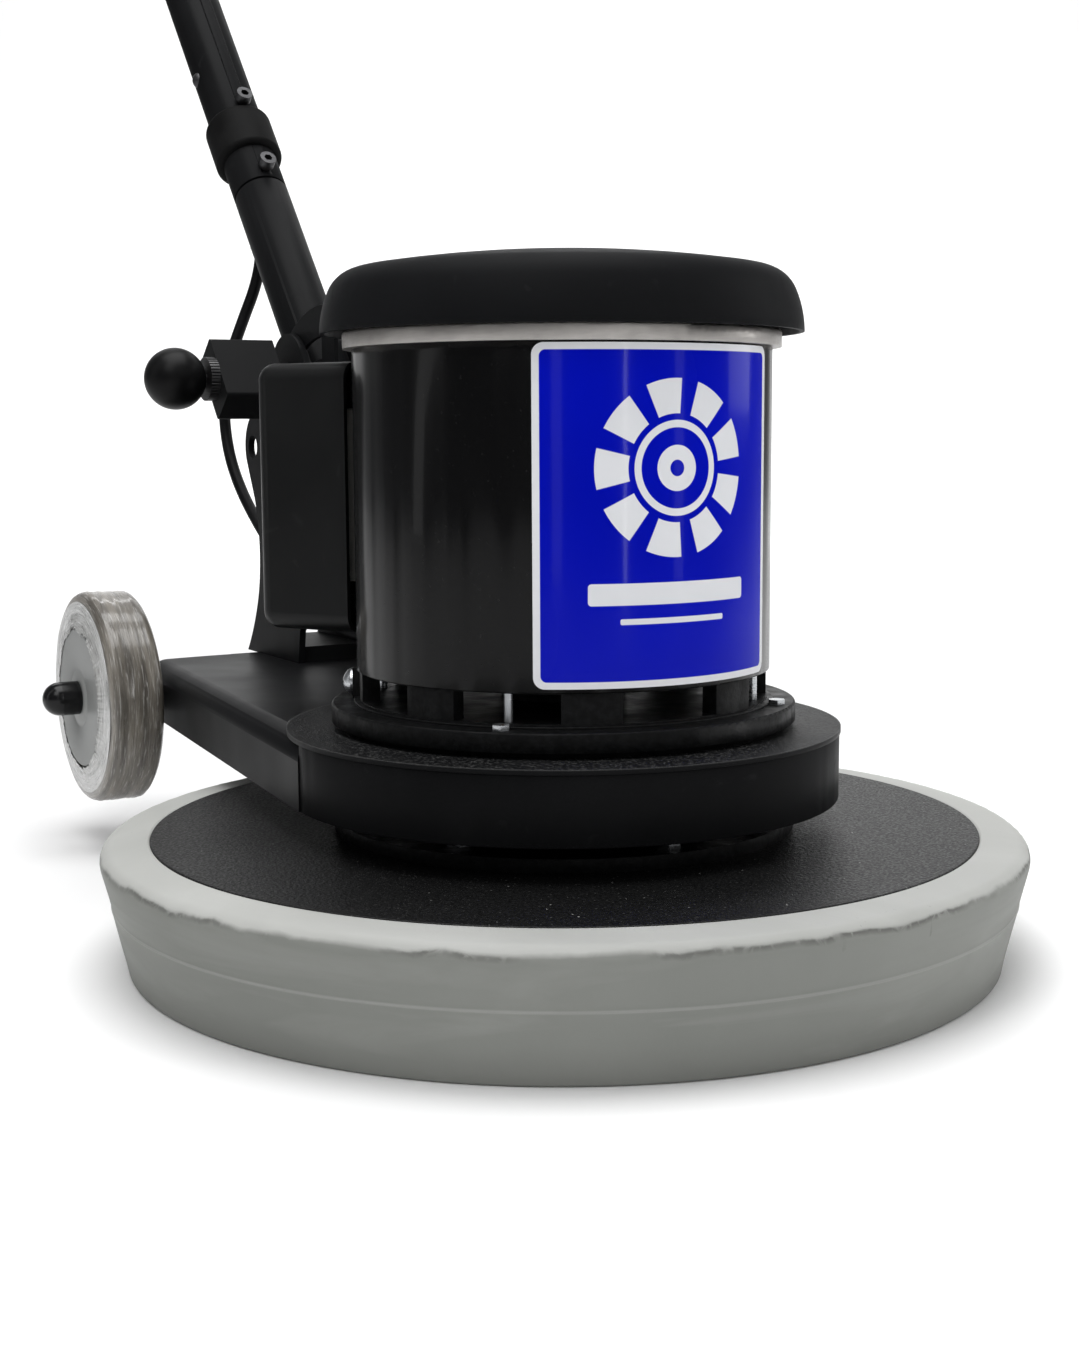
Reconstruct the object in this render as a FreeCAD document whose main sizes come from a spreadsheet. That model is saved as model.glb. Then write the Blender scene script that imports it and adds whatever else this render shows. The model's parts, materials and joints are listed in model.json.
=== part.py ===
import FreeCAD, Part
import math
import os
import re
import Sketcher
from FreeCAD import Placement, Rotation, Vector

# Walk-behind concrete grinder. Millimetres, +Z up, +Y towards the operator.
# The origin is on the floor, under the upright motor's axis.

SIZES = {
    # grinding deck
    "deck_radius": 250, "deck_top": 76.2, "deck_plate": 5, "deck_rim_low": 24, "deck_hole": 49,
    "bumper_low_radius": 264.5, "bumper_wide_radius": 279.5, "bumper_wide_height": 66,
    "bumper_shoulder_radius": 271, "bumper_shoulder": 74.2, "bumper_rise": 76,
    # tool under the deck
    "tool_radius": 205, "tool_low": 7, "tool_thick": 8, "tool_bore": 15, "segment_inner": 158,
    "segment_outer": 196, "segment_angle": 22, "segment_count": 9, "hub_flange_radius": 78,
    "hub_flange_thick": 8, "hub_sleeve_radius": 34, "hub_sleeve_top": 46, "drive_bolt_circle": 62,
    "drive_bolt_head": 6.5, "drive_bolt_sink": 4.5,
    # bolts and screws
    "bolt_radius": 4, "bolt_head": 7.5, "bolt_head_high": 5.3, "nut_high": 6.5, "screw_radius": 2.5,
    "screw_head_radius": 4.2,
    # gearbox
    "housing_neck": 48, "housing_low": 50, "housing_flange": 140, "housing_flange_thick": 8,
    "foot_circle": 118, "lid_circle": 78, "housing_radius": 84,
    "chamber_radius": 72, "chamber_low": 86, "chamber_top": 128,
    "lid_radius": 92, "shaft_radius": 19.97, "bearing_inner": 20, "bearing_outer": 40,
    "bearing_low": 58, "bearing_thick": 18, "seal_thick": 7, "gear_low": 104, "gear_width": 20,
    "gear_unit": 2, "sun_teeth": 12, "planet_teeth": 24, "ring_teeth": 60, "planet_count": 3,
    "tooth_addendum": 0.8, "tooth_dedendum": 1.05, "tooth_thinning": 0.12, "pressure_angle": 20,
    "carrier_radius": 56, "carrier_low": 88, "carrier_thick": 12, "planet_pin": 8, "pin_play": 0.04,
    # chassis
    "chassis_radius": 168, "shaft_hole": 22, "chassis_top": 138.5, "chassis_sheet": 3, "skirt_low": 96,
    "band_inset": 0.8, "band_low": 95.9, "fold_radius": 13, "fold_start": 18, "rear_edge": 447,
    "rear_half_width": 121, "front_half_width": 167,
    # motor
    "base_radius": 140.7, "base_low": 142.3, "base_top": 153.3, "spacer_radius": 134,
    "vent_wall_outer": 123.5, "vent_wall_inner": 113, "can_low": 172.8, "can_top": 362.9,
    "can_radius": 125, "can_wall": 4, "vent_count": 8, "vent_bridge": 29, "vent_low": 154.5,
    "rotor_seat": 12.5, "rotor_seat_play": 0.03, "motor_bearing_outer": 26,
    "motor_bearing_low": 158, "motor_bearing_thick": 15, "ring_radius": 130.4, "ring_top": 373,
    "top_seat": 10, "top_bearing_outer": 23.5, "top_bearing_low": 348, "top_bearing_thick": 14,
    "stator_bore": 62.5, "stator_low": 213, "stator_long": 104, "rotor_radius": 61.6,
    "winding_outer": 106, "winding_inner": 72, "winding_long": 19, "tie_circle": 116.5,
    "tie_radius": 2.5, "tie_nut": 4.6, "tie_nut_high": 4, "tie_nut_low": 364.1, "tie_top_nut": 396,
    "base_bolt_circle": 131, "base_bolt_radius": 2.5, "base_bolt_head": 5.2, "base_bolt_high": 3,
    "label_half_angle": 37.5, "boss_radius": 38,
    "lug_azimuth": 148, "lug_height": 163, "label_low": 175, "label_top": 362, "label_thick": 0.5,
    # dome cover and fan
    "dome_radius": 143.7, "dome_low": 371.6, "dome_wall": 3, "dome_side_bend": 64,
    "dome_shoulder_radius": 138.2, "dome_shoulder": 396.6, "dome_edge_bend": 22,
    "dome_crown_radius": 121.6, "dome_crown": 409.4, "dome_top": 419.1, "fan_low": 377,
    "fan_radius": 104, "fan_width": 17, "fan_blades": 9,
    # capacitor box on the rear left of the motor
    "box_azimuth": 120, "box_near": 121, "box_far": 192, "box_half": 55, "box_low": 191,
    "box_top": 357, "box_corner": 11, "box_wall": 3, "box_boss": 6, "box_boss_across": 30,
    "box_boss_inset": 16, "capacitor_radius": 20, "capacitor_long": 108, "capacitor_across": 24,
    # wheels
    "wheel_radius": 80, "wheel_width": 40, "wheel_out": 159, "wheel_rear": 420, "wheel_height": 115,
    "rim_radius": 55, "tyre_shoulder": 7, "hub_proud": 3, "axle_radius": 10, "wheel_play": 0.05,
    "cap_radius": 12.7, "cap_reach": 209, "axle_collar": 15,
    # folding handle
    "pivot_y": 303.6, "pivot_height": 288, "tilt": 40.1, "tube_radius": 21.75, "tube_wall": 2.5,
    "tube_low": -38, "joint_gap_low": 279, "joint_gap": 2, "spigot_low": 225, "spigot_top": 400,
    "sector_radius": 118, "sector_plate": 3.25, "sector_hub": 26, "sector_front": -50,
    "sector_rear": 38.5, "slot_inner": 79.3, "slot_outer": 95, "slot_front": -38, "slot_rear": 34,
    "bracket_inner": 26, "bracket_outer": 31, "pivot_bolt": 8, "pivot_play": 0.05, "sleeve_radius": 14,
    "bracket_hole": 9.2, "hole_y": 436, "ear_y": 424.5, "ear_height": 302.1,
    "foot_front": 350, "foot_rear": 458, "cross_plate": 12, "ear_radius": 28, "plunger_ear": 34,
    "pivot_ear": 30, "bracket_bolt_across": 14, "bracket_bolt_front": 375,
    "bracket_bolt_rear": 426, "bracket_hole_top": 148.5,
    # locking plunger
    "plunger_y": 360, "plunger_height": 353, "plunger_inner": 40, "plunger_outer": 89,
    "plunger_along": 55, "plunger_across": 29, "plunger_neck": 13, "plunger_bore": 8,
    "plunger_pin": 6, "plunger_play": 0.05, "plunger_rod": 4, "plunger_tip": 22.4,
    "plunger_shoulder": 66, "collar_radius": 16, "collar_outer": 96, "knob_radius": 22.5,
    "knob_centre": 118.5, "knob_flat": 97, "spring_wire": 0.7,
    # upper handle
    "collar_low": 316, "collar_long": 42.5, "grip_collar_radius": 27.2, "screw_low": 291,
    "screw_high": 366, "screw_head": 6.5, "plug_station": 414, "bar_station": 850,
    "bar_radius": 14, "bar_half": 225, "bar_wall": 2.5, "grip_radius": 18, "grip_inner": 100,
    "grip_end": 232, "housing_half": 75, "housing_across": 34, "switch_low": 800, "switch_top": 900,
    "switch_wall": 3, "trigger_across": 84, "trigger_station": 815, "trigger_pin": 3,
    "trigger_play": 0.05, "trigger_half": 6, "button_radius": 8, "button_play": 0.05,
    "button_low": 893, "button_top": 906,
    # motor lead
    "lead_diameter": 9.5, "gland_height": 195, "gland_radius": 8, "exit_y": 486.3, "exit_height": 470,
    "inlet_across": -45, "inlet_station": 825, "inlet_bore": 5,
}

# Points that the motor lead turns at, from the hole in the handle tube to the motor's gland.
LEAD_ROUTE = [
    (0, 486.3, 480), (0, 486.3, 457), (-3, 493, 432), (-8, 512, 405), (-13, 535, 372),
    (-15, 545, 333), (-15, 536, 297), (-15, 510, 267), (-15, 470, 239), (-13, 425, 211),
    (-11, 378, 184), (-8, 329, 167), (-5, 279, 162), (-2, 231, 170), (0, 190, 186),
    (0, 158, 195), (0, 131, 195),
]

doc = FreeCAD.newDocument("concrete_grinder")
sheet = doc.addObject("Spreadsheet::Sheet", "Sizes")
finished = []


def fill_sheet():
    """Write each driving dimension in a cell that has its name as alias."""
    for row, (alias, value) in enumerate(SIZES.items(), start=1):
        sheet.set(f"A{row}", alias.replace("_", " "))
        sheet.set(f"B{row}", str(value))
        sheet.setAlias(f"B{row}", alias)
    doc.recompute()


def expression(text):
    """A formula over the sheet's aliases as a FreeCAD expression."""
    return re.sub(r"[a-z][a-z_]+", lambda word: qualified(word.group(0)), str(text))


def qualified(word):
    return f"Sizes.{word}" if word in SIZES else word


def value(text):
    """The number that a formula over the sheet's aliases gives."""
    return float(sheet.evalExpression(str(text)))


def place(item, at=("0", "0", "0"), axis=None, turn=None):
    """Bind an object's position, and its turn about a fixed axis, to the sheet."""
    if axis is not None:
        item.Placement = Placement(Vector(), Rotation(Vector(*axis), value(turn)))
        item.setExpression(".Placement.Rotation.Angle", expression(turn))
    for letter, text in zip("xyz", at):
        item.setExpression(f".Placement.Base.{letter}", expression(text))
    return item


def primitive(kind, at=("0", "0", "0"), axis=None, turn=None, **sizes):
    """A Part primitive whose sizes are formulas over the sheet."""
    item = doc.addObject(f"Part::{kind}", kind)
    for name, text in sizes.items():
        item.setExpression(name, expression(text))
    return place(item, at, axis, turn)


def cylinder(radius, low, height, x="0", y="0"):
    """An upright cylinder."""
    return primitive("Cylinder", (x, y, low), Radius=radius, Height=height)


def lying(radius, low, length, y="0", z="0"):
    """A cylinder along X that starts at x = low."""
    return primitive("Cylinder", (low, y, z), (0, 1, 0), "90", Radius=radius, Height=length)


def crossing(radius, low, length, x="0", z="0"):
    """A cylinder along Y that starts at y = low."""
    return primitive("Cylinder", (x, low, z), (-1, 0, 0), "90", Radius=radius, Height=length)


def block(x, y, z, long, wide, high):
    return primitive("Box", (x, y, z), Length=long, Width=wide, Height=high)


def union(*items):
    item = doc.addObject("Part::MultiFuse", "Union")
    item.Shapes = list(items)
    return item


def group(*items):
    """Separate solids kept in one node."""
    item = doc.addObject("Part::Compound", "Group")
    item.Links = list(items)
    return item


def cut(base, *tools):
    item = doc.addObject("Part::Cut", "Cut")
    item.Base = base
    item.Tool = tools[0] if len(tools) == 1 else union(*tools)
    return item


def common(*items):
    item = doc.addObject("Part::MultiCommon", "Common")
    item.Shapes = list(items)
    return item


def tube(outer, inner, low, height):
    return cut(cylinder(outer, low, height), cylinder(inner, f"{low} - 1", f"{height} + 2"))


def ring_of(count, make, first=0.0):
    """Copies of what make(degrees) gives, spaced evenly round the Z axis."""
    return [make(first + 360.0 * index / count) for index in range(count)]


def polar(radius, degrees):
    """Formulas for the x and y of a point on a circle about the Z axis."""
    return f"({radius}) * cos({degrees})", f"({radius}) * sin({degrees})"


def holes(count, radius, low, height, circle, first=0.0):
    """Upright cylinders spaced evenly on a bolt circle."""
    return ring_of(count, lambda angle: cylinder(radius, low, height, *polar(circle, angle)), first)


def bracket_bolt_places():
    """Formulas for x and y of the four bolts that hold the handle bracket's cross plate."""
    return [(x, y) for x in ("-bracket_bolt_across", "bracket_bolt_across")
            for y in ("bracket_bolt_front", "bracket_bolt_rear")]


def origin_plane(body, role):
    return next(item for item in body.Origin.OriginFeatures if item.Role == role)


def arc_through(start, end, bend):
    """The arc from start to end of radius |bend|, turning left where bend is positive."""
    chord = end - start
    middle = (start + end) * 0.5
    left = Vector(-chord.y, chord.x, 0).normalize()
    rise = math.sqrt(max(bend * bend - chord.Length**2 / 4, 0))
    centre = middle + left * math.copysign(rise, bend)
    first, last = (start, end) if bend > 0 else (end, start)
    angles = [math.atan2(point.y - centre.y, point.x - centre.x) for point in (first, last)]
    return Part.ArcOfCircle(Part.Circle(centre, Vector(0, 0, 1), abs(bend)), *angles)


def outline(body, role, corners, offset="0"):
    """A closed, fully bound sketch on an origin plane of the body.

    A corner is (x, y), reached by a straight line, or (x, y, bend), reached by an arc.
    """
    sketch = body.newObject("Sketcher::SketchObject", "Outline")
    sketch.AttachmentSupport = [(origin_plane(body, role), "")]
    sketch.MapMode = "FlatFace"
    sketch.setExpression(".AttachmentOffset.Base.z", expression(offset))
    points = [Vector(value(corner[0]), value(corner[1]), 0) for corner in corners]
    starts = []
    for index, corner in enumerate(corners):
        before, here = points[index - 1], points[index]
        if len(corner) == 3:
            bend = value(corner[2])
            sketch.addGeometry(arc_through(before, here, bend))
            radius = sketch.addConstraint(Sketcher.Constraint("Radius", index, abs(bend)))
            sketch.setExpression(f"Constraints[{radius}]", f"abs({expression(corner[2])})")
            starts.append(1 if bend > 0 else 2)
        else:
            sketch.addGeometry(Part.LineSegment(before, here))
            starts.append(1)
    for index, corner in enumerate(corners):
        following = (index + 1) % len(corners)
        end = 3 - starts[index]
        sketch.addConstraint(Sketcher.Constraint("Coincident", index, end, following, starts[following]))
        for kind, text, number in (
            ("DistanceX", corner[0], points[index].x),
            ("DistanceY", corner[1], points[index].y),
        ):
            bound = sketch.addConstraint(Sketcher.Constraint(kind, -1, 1, index, end, number))
            sketch.setExpression(f"Constraints[{bound}]", expression(text))
    return sketch


def turned(corners):
    """A body turned about Z from an outline of (radius, height) corners."""
    body = doc.addObject("PartDesign::Body", "Turned")
    sketch = outline(body, "XZ_Plane", corners)
    feature = body.newObject("PartDesign::Revolution", "Turn")
    feature.Profile = sketch
    feature.ReferenceAxis = (sketch, ["V_Axis"])
    feature.Angle = 360
    return body


def extruded(role, corners, low, length):
    """A body made of one outline, from low to low + length along its plane's axis."""
    body = doc.addObject("PartDesign::Body", "Plate")
    sketch = outline(body, role, corners, low)
    feature = body.newObject("PartDesign::Pad", "Pad")
    feature.Profile = sketch
    feature.setExpression("Length", expression(length))
    return body


def rounded(item, radius, wanted):
    """Round the edges of item that wanted(edge) picks."""
    doc.recompute()
    size = value(radius)
    feature = doc.addObject("Part::Fillet", "Rounded")
    feature.Base = item
    feature.Edges = [
        (number, size, size) for number, edge in enumerate(item.Shape.Edges, start=1) if wanted(edge)
    ]
    return feature


def node(label, item, at=None, axis=None, turn=None):
    """Finish a sub-part: name it and, if asked, place it."""
    item.Label = label
    if at is not None:
        place(item, at, axis, turn)
    finished.append(item)
    return item


def on_handle(label, item):
    """Finish a sub-part that was drawn with the handle tube along Z and its pivot at the origin."""
    return node(label, item, ("0", "pivot_y", "pivot_height"), (-1, 0, 0), "tilt")


def middle(edge):
    return edge.valueAt((edge.FirstParameter + edge.LastParameter) / 2)


def is_upright(edge):
    first, last = edge.Vertexes[0].Point, edge.Vertexes[-1].Point
    return abs(first.x - last.x) < 0.01 and abs(first.y - last.y) < 0.01 and abs(first.z - last.z) > 1


# ---------------------------------------------------------------- deck and tool


def deck_pan():
    pan = turned([
        ("deck_hole", "deck_top - deck_plate"),
        ("deck_radius - deck_plate", "deck_top - deck_plate"),
        ("deck_radius - deck_plate", "deck_rim_low"),
        ("deck_radius", "deck_rim_low"),
        ("deck_radius", "deck_top"),
        ("deck_hole", "deck_top"),
    ])
    node("deck_pan", cut(pan, *holes(6, "bolt_radius", "deck_top - 10", "20", "foot_circle", 30)))


def bumper_ring():
    node("bumper_ring", turned([
        ("deck_radius", "0.5"),
        ("bumper_low_radius - 2.5", "0"),
        ("bumper_low_radius", "2.5", "3"),
        ("bumper_wide_radius", "bumper_wide_height"),
        ("bumper_shoulder_radius", "bumper_shoulder", "8.5"),
        ("deck_radius", "bumper_rise"),
    ]))


def driver_plate():
    disc = tube("tool_radius", "tool_bore", "tool_low", "tool_thick")
    bores = holes(6, "bolt_radius", "0", "30", "drive_bolt_circle")
    sinks = holes(6, "drive_bolt_head + 0.4", "0", "tool_low + drive_bolt_sink", "drive_bolt_circle")
    node("driver_plate", cut(disc, *bores, *sinks))


def diamond_segments():
    """Sintered abrasive blocks, each a piece of a ring."""
    def segment(angle):
        arc = ("0", "0", "0"), (0, 0, 1), f"{angle} - segment_angle / 2"
        outer = primitive("Cylinder", *arc, Radius="segment_outer", Height="tool_low", Angle="segment_angle")
        return cut(outer, cylinder("segment_inner", "-1", "tool_low + 2"))
    node("diamond_segments", group(*ring_of(int(value("segment_count")), segment, 10)))


def hub_flange():
    flange = turned([
        ("shaft_radius", "tool_low + tool_thick"),
        ("hub_flange_radius", "tool_low + tool_thick"),
        ("hub_flange_radius", "tool_low + tool_thick + hub_flange_thick"),
        ("hub_sleeve_radius", "tool_low + tool_thick + hub_flange_thick"),
        ("hub_sleeve_radius", "hub_sleeve_top"),
        ("shaft_radius", "hub_sleeve_top"),
    ])
    node("hub_flange", cut(flange, *holes(6, "bolt_radius", "0", "40", "drive_bolt_circle")))


def drive_bolts():
    def bolt(angle):
        x, y = polar("drive_bolt_circle", angle)
        head = cylinder("drive_bolt_head", "tool_low + 0.5", "drive_bolt_sink - 0.5", x, y)
        shank = cylinder("bolt_radius", "tool_low + 1", "27", x, y)
        nut = primitive("Prism", (x, y, "tool_low + tool_thick + hub_flange_thick"),
                        Polygon="6", Circumradius="bolt_head", Height="nut_high")
        return union(head, shank, nut)
    node("drive_bolts", group(*ring_of(6, bolt)))


# ---------------------------------------------------------------- gearbox


def gearbox_housing():
    body = turned([
        ("bearing_outer", "housing_low"),
        ("housing_neck", "housing_low"),
        ("housing_neck", "deck_top"),
        ("housing_flange", "deck_top"),
        ("housing_flange", "deck_top + housing_flange_thick"),
        ("housing_radius + 6", "deck_top + housing_flange_thick"),
        ("housing_radius", "deck_top + housing_flange_thick + 6", "-6"),
        ("housing_radius", "chamber_top"),
        ("chamber_radius", "chamber_top"),
        ("chamber_radius", "chamber_low"),
        ("34", "chamber_low"),
        ("34", "bearing_low + bearing_thick"),
        ("bearing_outer", "bearing_low + bearing_thick"),
    ])
    foot_holes = holes(6, "bolt_radius", "deck_top - 6", "20", "foot_circle", 30)
    lid_holes = holes(6, "screw_radius", "chamber_top - 12", "20", "lid_circle")
    node("gearbox_housing", cut(body, *foot_holes, *lid_holes))


def gearbox_lid():
    lid = tube("lid_radius", "20", "chamber_top", "chassis_top - chassis_sheet - chamber_top")
    bores = holes(6, "screw_radius", "chamber_top - 1", "12", "lid_circle")
    sinks = holes(6, "screw_head_radius + 0.3", "chamber_top + 4", "12", "lid_circle")
    node("gearbox_lid", cut(lid, *bores, *sinks))


def tooth_half_angle(radius, pitch_radius, teeth, widening):
    """Half the angle that a tooth (or a gap, for a ring) fills at a radius."""
    pressure = math.radians(value("pressure_angle"))
    base = pitch_radius * math.cos(pressure)
    local = math.acos(min(base / max(radius, base), 1.0))
    rolled = (math.tan(pressure) - pressure) - (math.tan(local) - local)
    return math.pi / (2 * teeth) + widening / pitch_radius + rolled


def gear_profile(teeth, low, high, widening, first):
    """A closed wire of involute teeth between the radii low and high."""
    pitch_radius = teeth * value("gear_unit") / 2
    steps = 6
    radii = [low + (high - low) * step / steps for step in range(steps + 1)]
    edges = []

    def at(radius, angle):
        return Vector(radius * math.cos(angle), radius * math.sin(angle), 0)

    for index in range(teeth):
        centre = first + 2 * math.pi * index / teeth
        halves = [tooth_half_angle(radius, pitch_radius, teeth, widening) for radius in radii]
        for side in (-1, 1):
            flank = [at(radius, centre + side * half) for radius, half in zip(radii, halves)]
            if side == 1:
                flank.reverse()
            curve = Part.BSplineCurve()
            curve.interpolate(flank)
            edges.append(curve.toShape())
            if side == -1:
                tips = [at(high, centre + turn * halves[-1]) for turn in (-1, 0, 1)]
                edges.append(Part.Arc(*tips).toShape())
        following = centre + 2 * math.pi / teeth
        turns = (centre + halves[0], (centre + following) / 2, following - halves[0])
        edges.append(Part.Arc(*[at(low, turn) for turn in turns]).toShape())
    return Part.Wire(Part.__sortEdges__(edges))


def gear(label, teeth, bore, phase):
    """An external spur gear about its own origin, as a drawn shape: no feature makes involutes."""
    unit = value("gear_unit")
    pitch_radius = teeth * unit / 2
    low = pitch_radius - unit * value("tooth_dedendum")
    high = pitch_radius + unit * value("tooth_addendum")
    wire = gear_profile(teeth, low, high, -value("tooth_thinning"), phase)
    width = value("gear_width")
    solid = Part.Face(wire).extrude(Vector(0, 0, width)).cut(Part.makeCylinder(bore, width))
    item = doc.addObject("Part::Feature", label)
    item.Shape = solid
    item.Label = label
    finished.append(item)
    return item


def sun_pinion():
    item = gear("sun_pinion", int(value("sun_teeth")), 6.0, 0.0)
    item.Placement = Placement(Vector(0, 0, value("gear_low")), Rotation())


def planet_gears():
    teeth = int(value("planet_teeth"))
    count = int(value("planet_count"))
    centres = value("(sun_teeth + planet_teeth) * gear_unit / 2")
    for index in range(count):
        bore = value("planet_pin + pin_play")
        item = gear(f"planet_gear_{index + 1}", teeth, bore, math.pi / teeth)
        turn = Rotation(Vector(0, 0, 1), 360.0 * index / count)
        height = Vector(0, 0, value("gear_low"))
        item.Placement = Placement(turn.multVec(Vector(centres, 0, 0)) + height, turn)


def ring_gear():
    teeth = int(value("ring_teeth"))
    unit = value("gear_unit")
    pitch_radius = teeth * unit / 2
    low = pitch_radius - unit * value("tooth_addendum")
    high = pitch_radius + unit * value("tooth_dedendum")
    gaps = gear_profile(teeth, low, high, value("tooth_thinning"), math.pi / teeth)
    width = value("gear_width")
    blank = Part.makeCylinder(value("chamber_radius"), width)
    item = doc.addObject("Part::Feature", "ring_gear")
    item.Shape = blank.cut(Part.Face(gaps).extrude(Vector(0, 0, width)))
    item.Placement = Placement(Vector(0, 0, value("gear_low")), Rotation())
    item.Label = "ring_gear"
    finished.append(item)


def planet_carrier():
    """Disc, output shaft and the three planet pins in one forging."""
    body = turned([
        ("0", "tool_low + tool_thick"),
        ("shaft_radius", "tool_low + tool_thick"),
        ("shaft_radius", "carrier_low - 10"),
        ("30", "carrier_low - 10"),
        ("30", "carrier_low"),
        ("carrier_radius", "carrier_low"),
        ("carrier_radius", "carrier_low + carrier_thick"),
        ("0", "carrier_low + carrier_thick"),
    ])
    centres = "(sun_teeth + planet_teeth) * gear_unit / 2"
    pins = holes(3, "planet_pin", "carrier_low + 2", "gear_low + gear_width - carrier_low", centres)
    spacers = holes(3, "planet_pin + 4", "carrier_low + 2", "gear_low - carrier_low - 2.4", centres)
    node("planet_carrier", union(body, *pins, *spacers))


def bearing(inner, outer, low, thick):
    """A sealed ball bearing as one ring with its two seal grooves."""
    corners = [
        (inner, low),
        (f"{inner} + 3", low),
        (f"{inner} + 3", f"{low} + 0.8"),
        (f"{outer} - 3", f"{low} + 0.8"),
        (f"{outer} - 3", low),
        (outer, low),
        (outer, f"{low} + {thick}"),
        (f"{outer} - 3", f"{low} + {thick}"),
        (f"{outer} - 3", f"{low} + {thick} - 0.8"),
        (f"{inner} + 3", f"{low} + {thick} - 0.8"),
        (f"{inner} + 3", f"{low} + {thick}"),
        (inner, f"{low} + {thick}"),
    ]
    return turned(corners)


def bearings_and_seals():
    node("bearings_and_seals", group(
        bearing("bearing_inner", "bearing_outer", "bearing_low", "bearing_thick"),
        bearing("rotor_seat", "motor_bearing_outer", "motor_bearing_low", "motor_bearing_thick"),
        bearing("top_seat", "top_bearing_outer", "top_bearing_low", "top_bearing_thick"),
        tube("bearing_outer", "bearing_inner + 0.05", "housing_low + 0.5", "seal_thick"),
        tube("20", "rotor_seat + 0.05", "chamber_top", "chassis_top - chassis_sheet - chamber_top"),
    ))


# ---------------------------------------------------------------- chassis


def platform_outline(inset):
    """The folded rear tray seen from above, tapering to the rear, at an inset from its edge."""
    return [
        (f"-(front_half_width - {inset})", "fold_start"),
        (f"front_half_width - {inset}", "fold_start"),
        (f"rear_half_width - {inset}", f"rear_edge - 5 - {inset}"),
        ("0", f"rear_edge + 4 - {inset}", "1500"),
        (f"-(rear_half_width - {inset})", f"rear_edge - 5 - {inset}", "1500"),
    ]


def chassis_platform():
    """Round plate under the motor, running back into a tray with folded sides."""
    def tray(inset, top, bend):
        """The tray as a full block, its rear corners and its long edges rounded."""
        body = extruded("XY_Plane", platform_outline(inset), f"skirt_low - {inset}",
                        f"{top} - skirt_low + {inset}")
        body = rounded(body, f"16 - {inset}", is_rear_corner)
        high = value(top) - 0.01
        return rounded(body, bend, lambda edge: edge.BoundBox.ZMin > high and is_behind_fold(edge))

    def is_rear_corner(edge):
        return is_upright(edge) and middle(edge).y > value("rear_edge") - 40

    def is_behind_fold(edge):
        return middle(edge).y > value("fold_start") + 1

    outside = tray("0", "chassis_top", "fold_radius")
    inside = tray("chassis_sheet", "chassis_top - chassis_sheet", "fold_radius - chassis_sheet")
    disc = cylinder("chassis_radius", "chassis_top - chassis_sheet", "chassis_sheet")
    openings = [
        *holes(4, "base_bolt_radius", "chassis_top - 8", "10", "base_bolt_circle", 45),
        lying("axle_radius", "-200", "400", "wheel_rear", "wheel_height"),
        cylinder("shaft_hole", "chassis_top - 8", "10"),
        *[cylinder("bolt_radius", "chassis_top - 8", "10", x, y) for x, y in bracket_bolt_places()],
    ]
    node("chassis_platform", cut(union(cut(outside, inside), disc), *openings))


def chassis_band():
    """Strip bent round the front, under the edge of the round plate."""
    band = tube("chassis_radius - band_inset", "chassis_radius - band_inset - chassis_sheet",
                "band_low", "chassis_top - chassis_sheet - band_low")
    behind = block("-200", "fold_start - 0.1", "0", "400", "400", "200")
    node("chassis_band", cut(band, behind))


def chassis_bolts():
    """Hexagon bolts of the motor, gearbox and handle bracket, and the gearbox lid's screws."""
    def lid_screw(angle):
        x, y = polar("lid_circle", angle)
        return union(cylinder("screw_radius", "chamber_top - 11", "15", x, y),
                     cylinder("screw_head_radius", "chamber_top + 4", "3", x, y))

    def bolt(x, y, low, top, radius="bolt_radius", head="bolt_head", high="bolt_head_high"):
        return union(
            cylinder(radius, low, f"{top} - ({low}) + 1", x, y),
            primitive("Prism", (x, y, top), Polygon="6", Circumradius=head, Height=high),
            primitive("Prism", (x, y, low), Polygon="6", Circumradius=head, Height="nut_high"),
        )

    under_plate = "chassis_top - chassis_sheet - nut_high"
    motor = ring_of(4, lambda angle: bolt(
        *polar("base_bolt_circle", angle), under_plate, "base_top",
        "base_bolt_radius", "base_bolt_head", "base_bolt_high"), 45)
    deck = ring_of(6, lambda angle: bolt(
        *polar("foot_circle", angle), "deck_top - deck_plate - nut_high",
        "deck_top + housing_flange_thick"), 30)
    feet = [
        union(cylinder("bolt_radius", under_plate, f"bracket_hole_top - ({under_plate})", x, y),
              primitive("Prism", (x, y, under_plate), Polygon="6", Circumradius="bolt_head",
                        Height="nut_high"))
        for x, y in bracket_bolt_places()
    ]
    node("chassis_bolts", group(*motor, *deck, *feet, *ring_of(6, lid_screw)))


# ---------------------------------------------------------------- motor


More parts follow.
